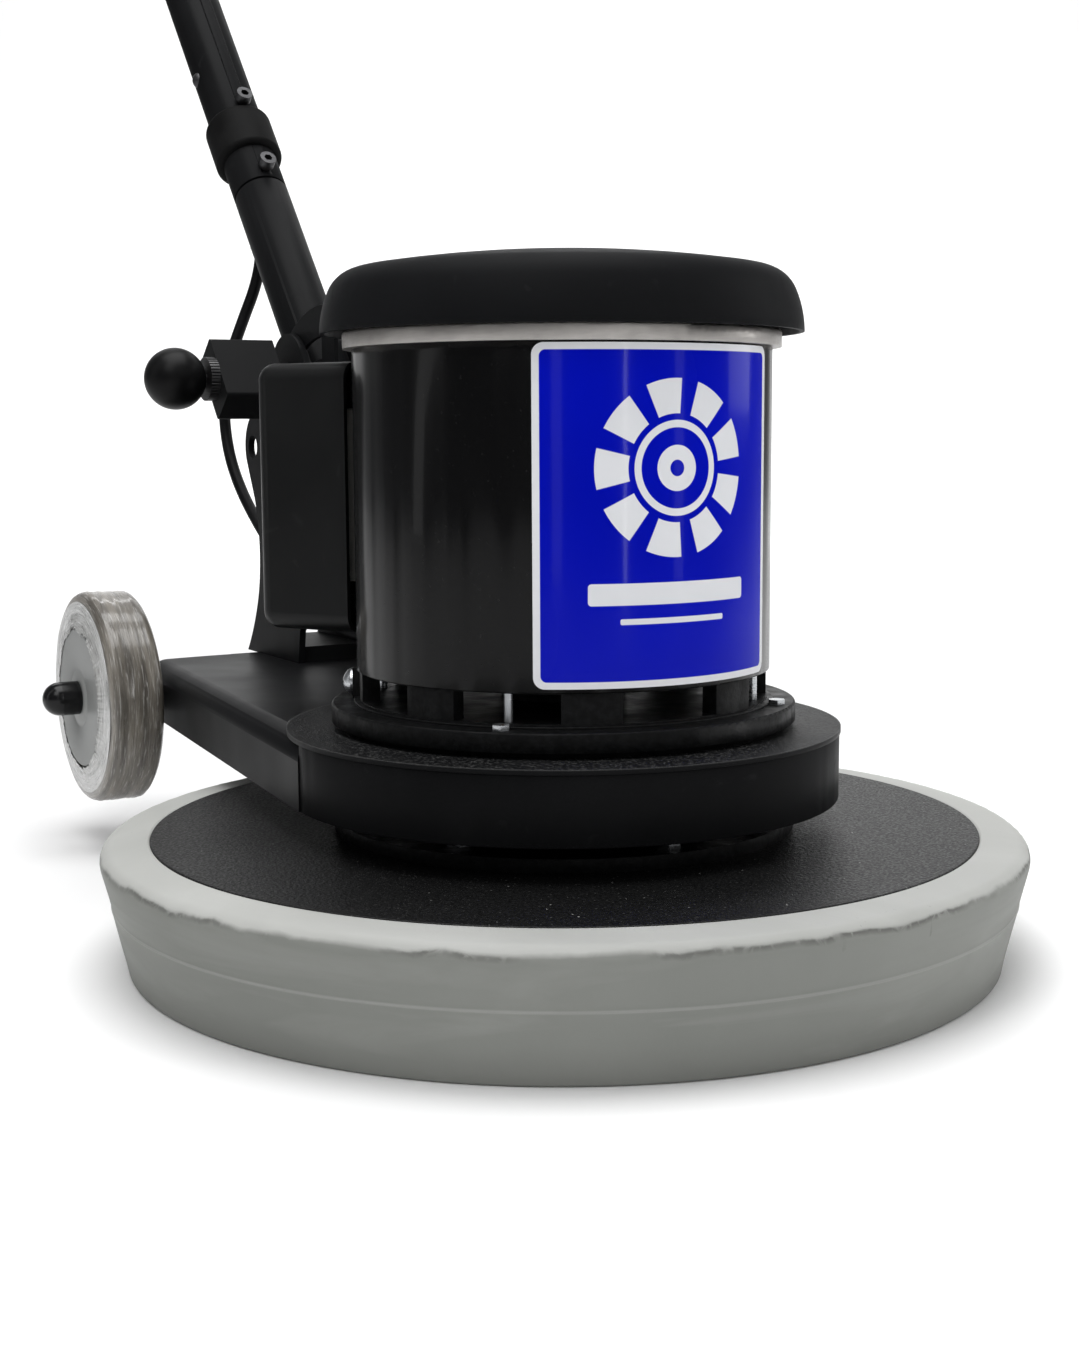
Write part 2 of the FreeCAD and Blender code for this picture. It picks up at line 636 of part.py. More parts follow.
def motor_base():
    """Cast foot of the motor: spacer, bolting flange, vented wall and bearing boss."""
    body = turned([
        ("20", "chassis_top"),
        ("spacer_radius", "chassis_top"),
        ("spacer_radius", "base_low"),
        ("base_radius", "base_low"),
        ("base_radius", "base_top - 1.5"),
        ("base_radius - 1.5", "base_top", "1.5"),
        ("vent_wall_outer", "base_top"),
        ("vent_wall_outer", "can_low"),
        ("can_radius - can_wall", "can_low"),
        ("can_radius - can_wall", "can_low + 9"),
        ("vent_wall_inner", "can_low + 9"),
        ("vent_wall_inner", "base_top + 2"),
        ("boss_radius", "base_top + 2"),
        ("boss_radius", "motor_bearing_low + motor_bearing_thick"),
        ("motor_bearing_outer", "motor_bearing_low + motor_bearing_thick"),
        ("motor_bearing_outer", "motor_bearing_low"),
        ("20", "motor_bearing_low"),
    ])

    def vent(angle):
        wedge = primitive("Cylinder", ("0", "0", "vent_low + 1"), (0, 0, 1), f"{angle} - vent_bridge / 2",
                          Radius="126", Height="can_low - vent_low - 1.5", Angle="vent_bridge")
        return cut(wedge, cylinder("100", "140", "60"))

    bolts = holes(4, "base_bolt_radius", "chassis_top - 8", "40", "base_bolt_circle", 45)
    rods = holes(4, "tie_radius", "144", "40", "tie_circle", 45)
    vents = ring_of(int(value("vent_count")), vent)
    ear = primitive("Box", ("119 * cos(lug_azimuth) + 8 * sin(lug_azimuth)",
                            "119 * sin(lug_azimuth) - 8 * cos(lug_azimuth)", "base_top - 1"),
                    (0, 0, 1), "lug_azimuth", Length="9", Width="16", Height="19.5")
    node("motor_base", union(cut(body, *bolts, *rods, *vents), ear))


def ground_screw():
    """Dome-headed cross screw in a lug at the foot of the motor, its axis pointing out."""
    washer = lying("8.5", "128", "1.5", "0", "lug_height")
    head = common(
        primitive("Sphere", ("126", "0", "lug_height"), Radius="9"),
        block("129.4", "-10", "lug_height - 10", "12", "20", "20"),
    )
    slots = union(block("133", "-4", "lug_height - 0.8", "4", "8", "1.6"),
                  block("133", "-0.8", "lug_height - 4", "4", "1.6", "8"))
    node("ground_screw", cut(union(washer, head), slots), ("0", "0", "0"), (0, 0, 1), "lug_azimuth")


def motor_can():
    can = tube("can_radius", "can_radius - can_wall", "can_low", "can_top - can_low")
    gland = crossing("gland_radius", "110", "30", "0", "gland_height")
    node("motor_can", cut(can, gland))


def label_plate():
    """Thin printed plate wrapped on the front of the can."""
    start = "-90 - label_half_angle"
    plate = primitive("Cylinder", ("0", "0", "label_low"), (0, 0, 1), start,
                      Radius="can_radius + label_thick", Height="label_top - label_low",
                      Angle="2 * label_half_angle")
    node("label_plate", cut(plate, cylinder("can_radius", "label_low - 1", "label_top - label_low + 2")))


def end_shield():
    """Aluminium casting that closes the can and carries the top bearing."""
    body = turned([
        ("14", "top_bearing_low - 4"),
        ("32", "top_bearing_low - 4"),
        ("32", "can_top - 6"),
        ("can_radius - can_wall - 6", "can_top - 6"),
        ("can_radius - can_wall - 6", "can_top - 10"),
        ("can_radius - can_wall", "can_top - 10"),
        ("can_radius - can_wall", "can_top"),
        ("ring_radius", "can_top"),
        ("ring_radius", "ring_top - 2"),
        ("ring_radius - 2", "ring_top", "2"),
        ("ring_radius - 12", "ring_top"),
        ("ring_radius - 16", "can_top + 1"),
        ("top_bearing_outer", "can_top + 1"),
        ("top_bearing_outer", "top_bearing_low"),
        ("14", "top_bearing_low"),
    ])
    rods = holes(4, "tie_radius", "340", "40", "tie_circle", 45)
    pockets = holes(4, "tie_nut + 0.6", "tie_nut_low", "20", "tie_circle", 45)
    air = holes(8, "16", "340", "40", "74", 22.5)
    node("end_shield", cut(body, *rods, *pockets, *air))


def stator_core():
    core = tube("can_radius - can_wall", "stator_bore", "stator_low", "stator_long")
    notches = holes(4, "4.6", "200", "140", "tie_circle + 0.8", 45)
    slots = holes(24, "3.2", "200", "140", "stator_bore + 10")
    node("stator_core", cut(core, *notches, *slots))


def stator_windings():
    """Copper end turns above and below the core."""
    def coil(low):
        ring = tube("winding_outer", "winding_inner", low, "winding_long")
        return rounded(ring, "6", lambda edge: True)
    node("stator_windings", group(coil("stator_low - winding_long"), coil("stator_low + stator_long")))


def tie_rods():
    """Studs from the motor's foot through the end shield up to the dome cover, with nuts."""
    def rod(angle):
        x, y = polar("tie_circle", angle)
        nuts = [primitive("Prism", (x, y, low), Polygon="6", Circumradius="tie_nut", Height="tie_nut_high")
                for low in ("tie_nut_low", "tie_top_nut")]
        return union(cylinder("tie_radius", "145", "257", x, y), *nuts)
    node("tie_rods", group(*ring_of(4, rod, 45)))


def dome_cover():
    """Moulded mushroom cover over the cooling fan."""
    crown_rise = "(dome_top - dome_crown)"
    crown_bend = f"(dome_crown_radius^2 + {crown_rise}^2) / (2 * {crown_rise})"
    inner_crown = "(dome_crown_radius - dome_wall * 0.158)"
    body = turned([
        ("dome_radius - dome_wall", "dome_low"),
        ("dome_radius", "dome_low"),
        ("dome_shoulder_radius", "dome_shoulder", "dome_side_bend"),
        ("dome_crown_radius", "dome_crown", "dome_edge_bend"),
        ("0", "dome_top", crown_bend),
        ("0", "dome_top - dome_wall"),
        (inner_crown, "dome_crown - dome_wall", f"-({inner_crown}^2 + {crown_rise}^2) / (2 * {crown_rise})"),
        ("dome_shoulder_radius - dome_wall * 0.914", "dome_shoulder - dome_wall * 0.407",
         "-(dome_edge_bend - dome_wall)"),
    ])
    bosses = holes(4, "6", "tie_top_nut + tie_nut_high", "9.3", "tie_circle - 4", 45)
    rods = holes(4, "tie_radius", "390", "12", "tie_circle", 45)
    node("dome_cover", cut(union(body, *bosses), *rods))


def cooling_fan():
    hub = tube("28", "top_seat", "fan_low", "fan_width")
    disc = tube("fan_radius - 4", "20", "fan_low", "2.5")
    blades = ring_of(int(value("fan_blades")), lambda angle: place(
        block("0", "-1.25", "0", "fan_radius - 22", "2.5", "fan_width"),
        (f"22 * cos({angle})", f"22 * sin({angle})", "fan_low"), (0, 0, 1), str(angle)))
    node("cooling_fan", union(hub, disc, *blades))


def rotor_shaft():
    node("rotor_shaft", turned([
        ("0", "gear_low - 1"),
        ("6", "gear_low - 1"),
        ("6", "gear_low + gear_width + 1"),
        ("rotor_seat - rotor_seat_play", "gear_low + gear_width + 1"),
        ("rotor_seat - rotor_seat_play", "178"),
        ("15", "178"),
        ("15", "340"),
        ("top_seat - rotor_seat_play", "344"),
        ("top_seat - rotor_seat_play", "fan_low - 4"),
        ("top_seat", "fan_low - 4"),
        ("top_seat", "fan_low + fan_width + 3"),
        ("0", "fan_low + fan_width + 3"),
    ]))


def rotor_core():
    core = tube("rotor_radius", "15", "stator_low", "stator_long")
    end_rings = [tube("rotor_radius - 5", "36", low, "8")
                 for low in ("stator_low - 8", "stator_low + stator_long")]
    node("rotor_core", union(core, *end_rings))


# ---------------------------------------------------------------- capacitor box


def beside_can(label, item):
    """Finish a sub-part drawn with the box's outward direction along X."""
    return node(label, item, ("0", "0", "0"), (0, 0, 1), "box_azimuth")


def capacitor_cover():
    """Rounded moulded box, open where its back follows the can, with four screw bosses inside."""
    def outer_edge(edge):
        return middle(edge).x > value("box_near") + 1

    def rounded_box(inset, radius):
        shape = block(
            f"box_near - {inset}", f"-box_half + {inset}", f"box_low + {inset}",
            "box_far - box_near", f"2 * box_half - 2 * {inset}", f"box_top - box_low - 2 * {inset}")
        return rounded(shape, radius, outer_edge)

    def bosses(low):
        return [lying("box_boss", low, f"box_far - 1 - ({low})", y, z)
                for y in ("-box_boss_across", "box_boss_across")
                for z in ("box_low + box_boss_inset", "box_top - box_boss_inset")]

    def can_space(radius):
        return cylinder(radius, "box_low - 1", "box_top - box_low + 2")

    shell = cut(rounded_box("0", "box_corner"), rounded_box("box_wall", "box_corner - box_wall"))
    shell = cut(shell, can_space("can_radius + 0.6"))
    posts = cut(union(*bosses("can_radius - 10")), can_space("can_radius"))
    beside_can("capacitor_cover", union(shell, posts))


def capacitors():
    cans = [
        rounded(cylinder("capacitor_radius", "box_low + 30", "capacitor_long", "154", y), "2",
                lambda edge: len(edge.Vertexes) == 1)
        for y in ("-capacitor_across", "capacitor_across")
    ]
    beside_can("capacitors", group(*cans))


def can_gland():
    """Gland on the rear of the can that the lead goes into."""
    hexagon = primitive("Prism", ("0", "126.5", "gland_height"), (-1, 0, 0), "90",
                        Polygon="6", Circumradius="12", Height="7")
    nose = crossing("8.5", "133", "10", "0", "gland_height")
    inner = crossing("gland_radius", "117", "10", "0", "gland_height")
    bore = crossing("lead_diameter / 2", "100", "60", "0", "gland_height")
    node("can_gland", cut(union(hexagon, nose, inner), bore))


# ---------------------------------------------------------------- wheels


def axle():
    """Cross axle through the tray's sides, with the collars that space the wheels."""
    reach = "cap_reach - 8"
    rod = lying("axle_radius", f"-({reach})", f"2 * ({reach})", "wheel_rear", "wheel_height")
    collars = [lying("axle_collar", low, "10.2", "wheel_rear", "wheel_height")
               for low in ("wheel_out - 32.7", "-wheel_out + 22.5")]
    node("axle", union(rod, *collars))


def wheel(side, sign):
    """A solid tyre on a flat-faced disc hub. Both are drawn on Z and laid along X."""
    turn = "90" if sign > 0 else "-90"
    at = (f"{sign} * wheel_out", "wheel_rear", "wheel_height")
    half = "wheel_width / 2"
    tyre = turned([
        ("rim_radius", f"-({half})"),
        ("wheel_radius - tyre_shoulder", f"-({half})"),
        ("wheel_radius", f"-({half}) + tyre_shoulder", "tyre_shoulder"),
        ("wheel_radius", f"{half} - tyre_shoulder"),
        ("wheel_radius - tyre_shoulder", half, "tyre_shoulder"),
        ("rim_radius", half),
    ])
    hub = turned([
        ("axle_radius + wheel_play", f"-({half}) - 2"),
        ("20", f"-({half}) - 2"),
        ("20", f"{half} - 10"),
        ("rim_radius - 6", f"{half} - 10"),
        ("rim_radius - 6", f"-({half}) + 2"),
        ("rim_radius", f"-({half}) + 2"),
        ("rim_radius", f"{half} + hub_proud - 1.5"),
        ("rim_radius - 1.5", f"{half} + hub_proud", "1.5"),
        ("axle_radius + wheel_play", f"{half} + hub_proud"),
    ])
    node(f"tyre_{side}", tyre, at, (0, 1, 0), turn)
    node(f"wheel_hub_{side}", hub, at, (0, 1, 0), turn)


def axle_caps():
    """Round-ended rubber caps pushed on the ends of the axle."""
    def cap(sign):
        face = "wheel_out + wheel_width / 2 + hub_proud + 0.4"
        body = turned([
            ("axle_radius", face),
            ("cap_radius", face),
            ("cap_radius", "cap_reach - cap_radius"),
            ("0", "cap_reach", "cap_radius"),
            ("0", "cap_reach - 8"),
            ("axle_radius", "cap_reach - 8"),
        ])
        return place(body, ("0", "wheel_rear", "wheel_height"), (0, 1, 0), "90" if sign > 0 else "-90")
    node("axle_caps", group(cap(-1), cap(1)))


# ---------------------------------------------------------------- handle bracket


def tangent_points(first, first_radius, second, second_radius, side):
    """Formulas for where a line beside two circles of nearly equal radius leaves each of them."""
    across = f"({second[0]} - {first[0]})"
    up = f"({second[1]} - {first[1]})"
    length = f"sqrt({across}^2 + {up}^2)"
    normal = (f"(-{side} * {up} / {length})", f"({side} * {across} / {length})")
    return [
        (f"{centre[0]} + {radius} * {normal[0]}", f"{centre[1]} + {radius} * {normal[1]}")
        for centre, radius in ((first, first_radius), (second, second_radius))
    ]


def handle_bracket():
    """Two upright plates welded to a cross plate. The plates carry the pivot and the plunger."""
    pivot = ("pivot_y", "pivot_height")
    plunger = ("plunger_y", "plunger_height")
    rear = ("ear_y", "ear_height")
    front_of_pivot, left_of_plunger = tangent_points(pivot, "pivot_ear", plunger, "plunger_ear", 1)
    right_of_plunger, above_rear = tangent_points(plunger, "plunger_ear", rear, "ear_radius", 1)
    side = [
        ("foot_front", "chassis_top"),
        ("foot_front - 4", "chassis_top + 24"),
        ("pivot_y - pivot_ear * 0.8", "pivot_height - pivot_ear * 0.6"),
        (*front_of_pivot, "-pivot_ear"),
        left_of_plunger,
        (*right_of_plunger, "-plunger_ear"),
        above_rear,
        ("ear_y + ear_radius * 0.93", "ear_height - ear_radius * 0.36", "-ear_radius - 0.1"),
        ("foot_rear - 24", "chassis_top + 121.5"),
        ("foot_rear - 27.5", "chassis_top + 48.5", "121"),
        ("foot_rear", "chassis_top", "149"),
    ]
    plates = [extruded("YZ_Plane", side, low, "bracket_outer - bracket_inner")
              for low in ("bracket_inner", "-bracket_outer")]
    cross = block("-bracket_inner", "foot_front + 4", "chassis_top", "2 * bracket_inner",
                  "foot_rear - foot_front - 14", "cross_plate")
    pivot_hole = lying("pivot_bolt", "-50", "100", "pivot_y", "pivot_height")
    eye = lying("bracket_hole", "-50", "100", "hole_y", "ear_height")
    guide = lying("plunger_pin + plunger_play", "-50", "50", "plunger_y", "plunger_height")
    feet = [cylinder("bolt_radius", "130", "bracket_hole_top - 130", x, y)
            for x, y in bracket_bolt_places()]
    left, right = (cut(plate, *tools) for plate, tools in zip(
        plates[::-1], ((pivot_hole, eye, guide), (pivot_hole, eye))))
    node("handle_bracket", group(left, right, cut(cross, *feet)))


def pivot_bolt():
    """Clamping bolt that the handle tilts on, with its nut."""
    shank = lying("pivot_bolt", "-bracket_outer - 1", "2 * bracket_outer + 12", "pivot_y", "pivot_height")
    ends = [
        primitive("Prism", (low, "pivot_y", "pivot_height"), (0, 1, 0), "90",
                  Polygon="6", Circumradius="13.8", Height=high)
        for low, high in (("-bracket_outer - 10", "10"), ("bracket_outer", "9"))
    ]
    node("pivot_bolt", union(shank, *ends))


def plunger_block():
    """Block welded to the left plate that guides the locking plunger, square to the tube."""
    at = ("0", "plunger_y", "plunger_height")
    body = block("-plunger_outer", "-plunger_across / 2", "-plunger_along / 2",
                 "plunger_outer - plunger_inner", "plunger_across", "plunger_along")
    body = rounded(body, "2.5", lambda edge: abs(edge.BoundBox.XLength) > 5)
    neck = lying("plunger_neck", "-plunger_inner - 1", "plunger_inner - bracket_outer + 1")
    bore = lying("plunger_bore", "-plunger_outer - 1", "plunger_outer - plunger_inner - 4")
    guide = lying("plunger_pin + plunger_play", "-70", "60")
    node("plunger_block", cut(union(body, neck), bore, guide), at, (-1, 0, 0), "tilt")


def plunger_collar():
    """Screwed collar with a fine knurl that closes the block's bore."""
    ring = lying("collar_radius", "-collar_outer", "collar_outer - plunger_outer")
    cuts = [
        primitive("Box", ("-collar_outer - 1", *polar("collar_radius", angle)), (1, 0, 0), str(angle + 45),
                  Length="collar_outer - plunger_outer + 2", Width="0.9", Height="0.9")
        for angle in range(0, 360, 9)
    ]
    bore = lying("plunger_rod + plunger_play", "-120", "60")
    node("plunger_collar", cut(ring, bore, *cuts), ("0", "plunger_y", "plunger_height"))


def plunger_pin():
    """Stepped pin: tip in the slot, shoulder under the spring, rod to the knob."""
    at = ("0", "plunger_y", "plunger_height")
    tip = lying("plunger_pin", "-plunger_shoulder + 1", "plunger_shoulder - plunger_tip - 1")
    shoulder = lying("plunger_bore - plunger_play", "-plunger_shoulder", "8")
    rod = lying("plunger_rod", "-knob_centre + 5", "knob_centre - plunger_shoulder")
    node("plunger_pin", union(tip, shoulder, rod), at)


def ball_knob():
    ball = primitive("Sphere", ("-knob_centre", "0", "0"), Radius="knob_radius")
    flat = block("-knob_flat", "-20", "-20", "20", "40", "40")
    bore = lying("plunger_rod", "-knob_centre + 5", "60")
    node("ball_knob", cut(ball, flat, bore), ("0", "plunger_y", "plunger_height"))


def plunger_spring():
    """Coil spring between the pin's shoulder and the collar, swept along a helix."""
    wire = value("spring_wire")
    length = value("plunger_outer - plunger_shoulder") - 2 * wire - 0.4
    mean = value("plunger_bore") - 0.3 - wire
    coils, steps = 6, 12
    points = []
    for index in range(coils * steps + 1):
        angle = 2 * math.pi * index / steps
        height = length * index / (coils * steps)
        points.append(Vector(mean * math.cos(angle), mean * math.sin(angle), height))
    helix = Part.BSplineCurve()
    helix.interpolate(points)
    start = Part.Wire(Part.makeCircle(wire, points[0], helix.tangent(helix.FirstParameter)[0]))
    coil = Part.Wire(helix.toShape()).makePipeShell([start], True, False)
    item = doc.addObject("Part::Feature", "plunger_spring")
    item.Shape = coil
    item.Placement = Placement(
        Vector(-value("plunger_shoulder") - wire - 0.2, value("plunger_y"), value("plunger_height")),
        Rotation(Vector(0, 1, 0), -90))
    item.Label = "plunger_spring"
    finished.append(item)


# ---------------------------------------------------------------- handle


def tilt_sectors():
    """Quadrant plates on each side of the tube and the sleeve that turns on the pivot bolt."""
    def ray(radius, angle):
        return f"({radius}) * sin({angle})", f"({radius}) * cos({angle})"

    quadrant = [
        ray("sector_radius", "sector_front"),
        (*ray("sector_radius", "sector_rear"), "-sector_radius"),
        ray("sector_hub", "sector_rear + 45"),
        (*ray("sector_hub", "180 + (sector_front + sector_rear) / 2"), "-sector_hub"),
        (*ray("sector_hub", "sector_front - 45"), "-sector_hub"),
    ]
    slot = [
        ray("slot_outer", "slot_front"),
        (*ray("slot_outer", "slot_rear"), "-slot_outer"),
        ray("slot_inner", "slot_rear"),
        (*ray("slot_inner", "slot_front"), "slot_inner"),
    ]
    sides = []
    for low in ("tube_radius", "-tube_radius - sector_plate"):
        plate = extruded("YZ_Plane", quadrant, low, "sector_plate")
        window = extruded("YZ_Plane", slot, f"{low} - 1", "sector_plate + 2")
        sides.append(cut(plate, window))
    sleeve = lying("sleeve_radius", "-tube_radius - sector_plate", "2 * (tube_radius + sector_plate)")
    bore = lying("pivot_bolt + pivot_play", "-60", "120")
    on_handle("tilt_sectors", cut(union(*sides, sleeve), bore))


def lower_tube():
    """Lower handle tube with the spigot that the upper tube slides over."""
    inner = "tube_radius - tube_wall"
    outer_tube = tube("tube_radius", inner, "tube_low", "joint_gap_low - tube_low")
    spigot = tube(inner, f"{inner} - 3", "spigot_low", "spigot_top - spigot_low")
    sleeve = lying("sleeve_radius", "-40", "80")
    exit_hole = lead_exit("6", "-30", "60")
    on_handle("lower_tube", cut(union(outer_tube, spigot), sleeve, exit_hole, *screw_holes()))


def lead_exit(radius, low, length):
    """A plumb cylinder where the lead leaves the tube, in the handle's own directions."""
    rear = "(exit_y - pivot_y)"
    up = f"(exit_height + ({low}) - pivot_height)"
    at = ("0", f"{rear} * cos(tilt) - {up} * sin(tilt)", f"{rear} * sin(tilt) + {up} * cos(tilt)")
    return primitive("Cylinder", at, (1, 0, 0), "tilt", Radius=radius, Height=length)


def screw_holes():
    """Holes through the front wall for the two screws that clamp the joint."""
    return [crossing("4", "-30", "20", "0", station) for station in ("screw_low", "screw_high")]


def upper_tube():
    """Upper handle tube with its welded crossbar."""
    low = "joint_gap_low + joint_gap"
    inner = "tube_radius - tube_wall"
    column = cylinder("tube_radius", low, f"bar_station - ({low})")
    bar = lying("bar_radius", "-bar_half", "2 * bar_half", "0", "bar_station")
    hollow = cylinder(inner, f"{low} - 1", f"bar_station - ({low})")
    bore = lying("bar_radius - bar_wall", "-bar_half - 1", "2 * bar_half + 2", "0", "bar_station")
    on_handle("upper_tube", cut(union(column, bar), hollow, bore, *screw_holes()))


def tube_collar():
    """Rubber ring over the joint of the two tubes."""
    top = "collar_low + collar_long"
    on_handle("tube_collar", turned([
        ("tube_radius", "collar_low"),
        ("grip_collar_radius - 4", "collar_low"),
        ("grip_collar_radius", "collar_low + 4", "4"),
        ("grip_collar_radius", f"{top} - 4"),
        ("grip_collar_radius - 4", top, "4"),
        ("tube_radius", top),
    ]))


def tube_screws():
    """Socket-head screws on the front of the tube and a blind plug on its side."""
    def screw(station):
        shank = crossing("4", "-tube_radius - 3", "8.4", "0", station)
        head = crossing("screw_head", "-tube_radius - 10", "8", "0", station)
        socket = primitive("Prism", ("0", "-tube_radius - 11", station), (-1, 0, 0), "90",
                           Polygon="6", Circumradius="3.4", Height="5")
        seat = crossing("5", "-tube_radius - 3", "3.5", "0", station)
        return cut(union(shank, head, cut(seat, cylinder("tube_radius", "0", "600"))), socket)
    plug = common(
        primitive("Sphere", ("-tube_radius + 4", "0", "plug_station"), Radius="7"),
        cut(block("-tube_radius - 5", "-8", "plug_station - 8", "8", "16", "16"),
            cylinder("tube_radius", "300", "200")),
    )
    on_handle("tube_screws", group(screw("screw_low"), screw("screw_high"), plug))


def hand_grips():
    """Ribbed rubber grips, closed at their outer ends."""
    def grip(sign):
        corners = [("bar_radius", "grip_inner"), ("grip_radius + 4", "grip_inner"),
                   ("grip_radius + 4", "grip_inner + 5"), ("grip_radius", "grip_inner + 5")]
        for index in range(6):
            rib = f"grip_inner + 16 + {index * 17}"
            corners += [("grip_radius", rib), ("grip_radius", f"{rib} + 9", "7")]
        corners += [("grip_radius", "grip_end - 4"), ("grip_radius - 4", "grip_end", "4"),
                    ("0", "grip_end"), ("0", "bar_half + 0.3"), ("bar_radius", "bar_half + 0.3")]
        return place(turned(corners), ("0", "0", "bar_station"), (0, 1, 0), "90" if sign > 0 else "-90")
    on_handle("hand_grips", group(grip(-1), grip(1)))


def switch_housing():
    """Box round the crossbar's middle, with lugs that carry the two trigger levers."""
    def box(inset):
        shape = block(
            f"-housing_half + {inset}", f"-housing_across + {inset}", f"switch_low + {inset}",
            f"2 * housing_half - 2 * {inset}", f"2 * housing_across - 2 * {inset}",
            f"switch_top - switch_low - 2 * {inset}")
        return rounded(shape, f"8 - {inset}", lambda edge: True)

    hinge_places = ("trigger_across", "-trigger_across")
    lugs = []
    for low in ("trigger_half + 1", "-trigger_half - 6"):
        for web_low in ("housing_half - 2", "-housing_half - 9"):
            lugs.append(block(web_low, low, "trigger_station - 8", "11", "5", "16"))
        lugs += [crossing("8", low, "5", x, "trigger_station") for x in hinge_places]
    openings = [
        cylinder("tube_radius", "switch_low - 10", "30"),
        lying("bar_radius", "-100", "200", "0", "bar_station"),
        cylinder("button_radius + button_play", "switch_top - 10", "20"),
        *[crossing("trigger_pin", "-20", "40", x, "trigger_station") for x in hinge_places],
        crossing("8", "housing_across - 10", "20", "inlet_across", "inlet_station"),
    ]
    shell = cut(box("0"), box("switch_wall"))
    on_handle("switch_housing", cut(union(shell, *lugs), *openings))


def switch_unit():
    """Two-pole switch block under the button."""
    body = rounded(block("-24", "-15", "868", "48", "30", "19"), "1.5", lambda edge: True)
    terminals = [block(x, "-2", "887", "3", "4", "1.5") for x in ("-20", "17")]
    on_handle("switch_unit", union(body, *terminals))


def trigger_hinges():
    """The pins that the trigger levers turn on, with their heads."""
    pins = []
    for x in ("-trigger_across", "trigger_across"):
        shank = crossing("trigger_pin", "-trigger_half - 7", "2 * trigger_half + 14", x, "trigger_station")
        head = crossing("5", "-trigger_half - 8.5", "2.5", x, "trigger_station")
        pins.append(union(shank, head))
    on_handle("trigger_hinges", group(*pins))


def trigger(side, sign):
    """A finger lever under the grip."""
    corners = [
        ("grip_end - 47", "trigger_station - 13", ""),
        ("grip_end - 46", "trigger_station - 5", "4.3"),
        ("trigger_across + 26", "trigger_station + 3", "-160"),
        ("trigger_across", "trigger_station + 7", ""),
        ("trigger_across", "trigger_station - 7", "7.3"),
    ]
    mirrored = [
        (f"{sign} * ({x})", y, f"{sign} * ({bend})") if bend else (f"{sign} * ({x})", y)
        for x, y, bend in corners
    ]
    body = extruded("XZ_Plane", mirrored, "-trigger_half", "2 * trigger_half")
    bore = crossing("trigger_pin + trigger_play", "-20", "40", f"{sign} * trigger_across", "trigger_station")
    on_handle(f"trigger_{side}", cut(body, bore))


def safety_button():
    """Lock button on top of the switch box."""
    stem = cylinder("button_radius", "button_low", "button_top - button_low - 2")
    head = cylinder("button_radius - 1.5", "button_top - 3", "3")
    top = value("button_top") - 0.1
    on_handle("safety_button", rounded(union(stem, head), "1", lambda edge: edge.BoundBox.ZMin > top))


def handle_glands():
    """Rubber bush at the lead's exit, and the inlet gland for the mains cable."""
    bush = cut(lead_exit("9", "-9", "24"), cylinder("tube_radius", "150", "200"),
               lead_exit("lead_diameter / 2 + 0.6", "-30", "60"))
    place_on_box = ("inlet_across", "inlet_station")
    hexagon = primitive("Prism", ("inlet_across", "housing_across", "inlet_station"), (-1, 0, 0), "90",
                        Polygon="6", Circumradius="13", Height="8")
    nose = crossing("9.5", "housing_across + 8", "12", *place_on_box)
    neck = crossing("8", "housing_across - 6", "7", *place_on_box)
    bore = crossing("inlet_bore", "housing_across - 10", "60", *place_on_box)
    inlet = cut(union(hexagon, nose, neck), bore)
    on_handle("handle_glands", group(bush, inlet))


# ---------------------------------------------------------------- motor lead


def motor_lead():
    """Round lead: straight runs joined by tangent arcs, swept from end to end."""
    points = [Vector(*point) for point in LEAD_ROUTE]
    edges = []
    radii = []
    start = points[0]
    for before, here, after in zip(points, points[1:], points[2:]):
        arriving = (here - before).normalize()
        leaving = (after - here).normalize()
        half_turn = math.acos(max(-1.0, min(1.0, arriving.dot(leaving)))) / 2
        reach = 0.45 * min((here - before).Length, (after - here).Length)
        radii.append(reach / math.tan(half_turn))
        enter = here - arriving * reach
        leave = here + leaving * reach
        inward = (leaving - arriving).normalize()
        sagitta = radii[-1] * (1 / math.cos(half_turn) - 1)
        edges.append(Part.LineSegment(start, enter).toShape())
        edges.append(Part.Arc(enter, here + inward * sagitta, leave).toShape())
        start = leave
    edges.append(Part.LineSegment(start, points[-1]).toShape())
    path = Part.Wire(edges)
    radius = value("lead_diameter") / 2
    section = Part.Wire(Part.makeCircle(radius, points[0], points[1] - points[0]))
    lead = path.makePipeShell([section], True, False)
    runs = [(after - before).Length for before, after in zip(points, points[1:])]
    print("lead length", round(path.Length, 1), "volume ratio",
          round(lead.Volume / (math.pi * radius * radius * path.Length), 4))
    print("lead radii", [round(size) for size in radii], "runs", [round(run) for run in runs])
    item = doc.addObject("Part::Feature", "motor_lead")
    item.Shape = lead
    item.Placement = Placement()
    item.Label = "motor_lead"
    finished.append(item)


def check_and_export():
    """Stop on any failed feature or bad shape, then write one STEP file for each sub-part."""
    doc.recompute()
    failed = [item.Label for item in doc.Objects if {"Invalid", "Error"} & set(item.State)]
    bad = [item.Label for item in finished if item.Shape.isNull() or not item.Shape.isValid()]
    if failed or bad:
        raise SystemExit(f"failed features {failed}, bad shapes {bad}")
    os.makedirs("parts", exist_ok=True)
    for item in finished:
        item.Shape.exportStep(f"parts/{item.Label}.step")
    print(len(finished), "sub-parts")


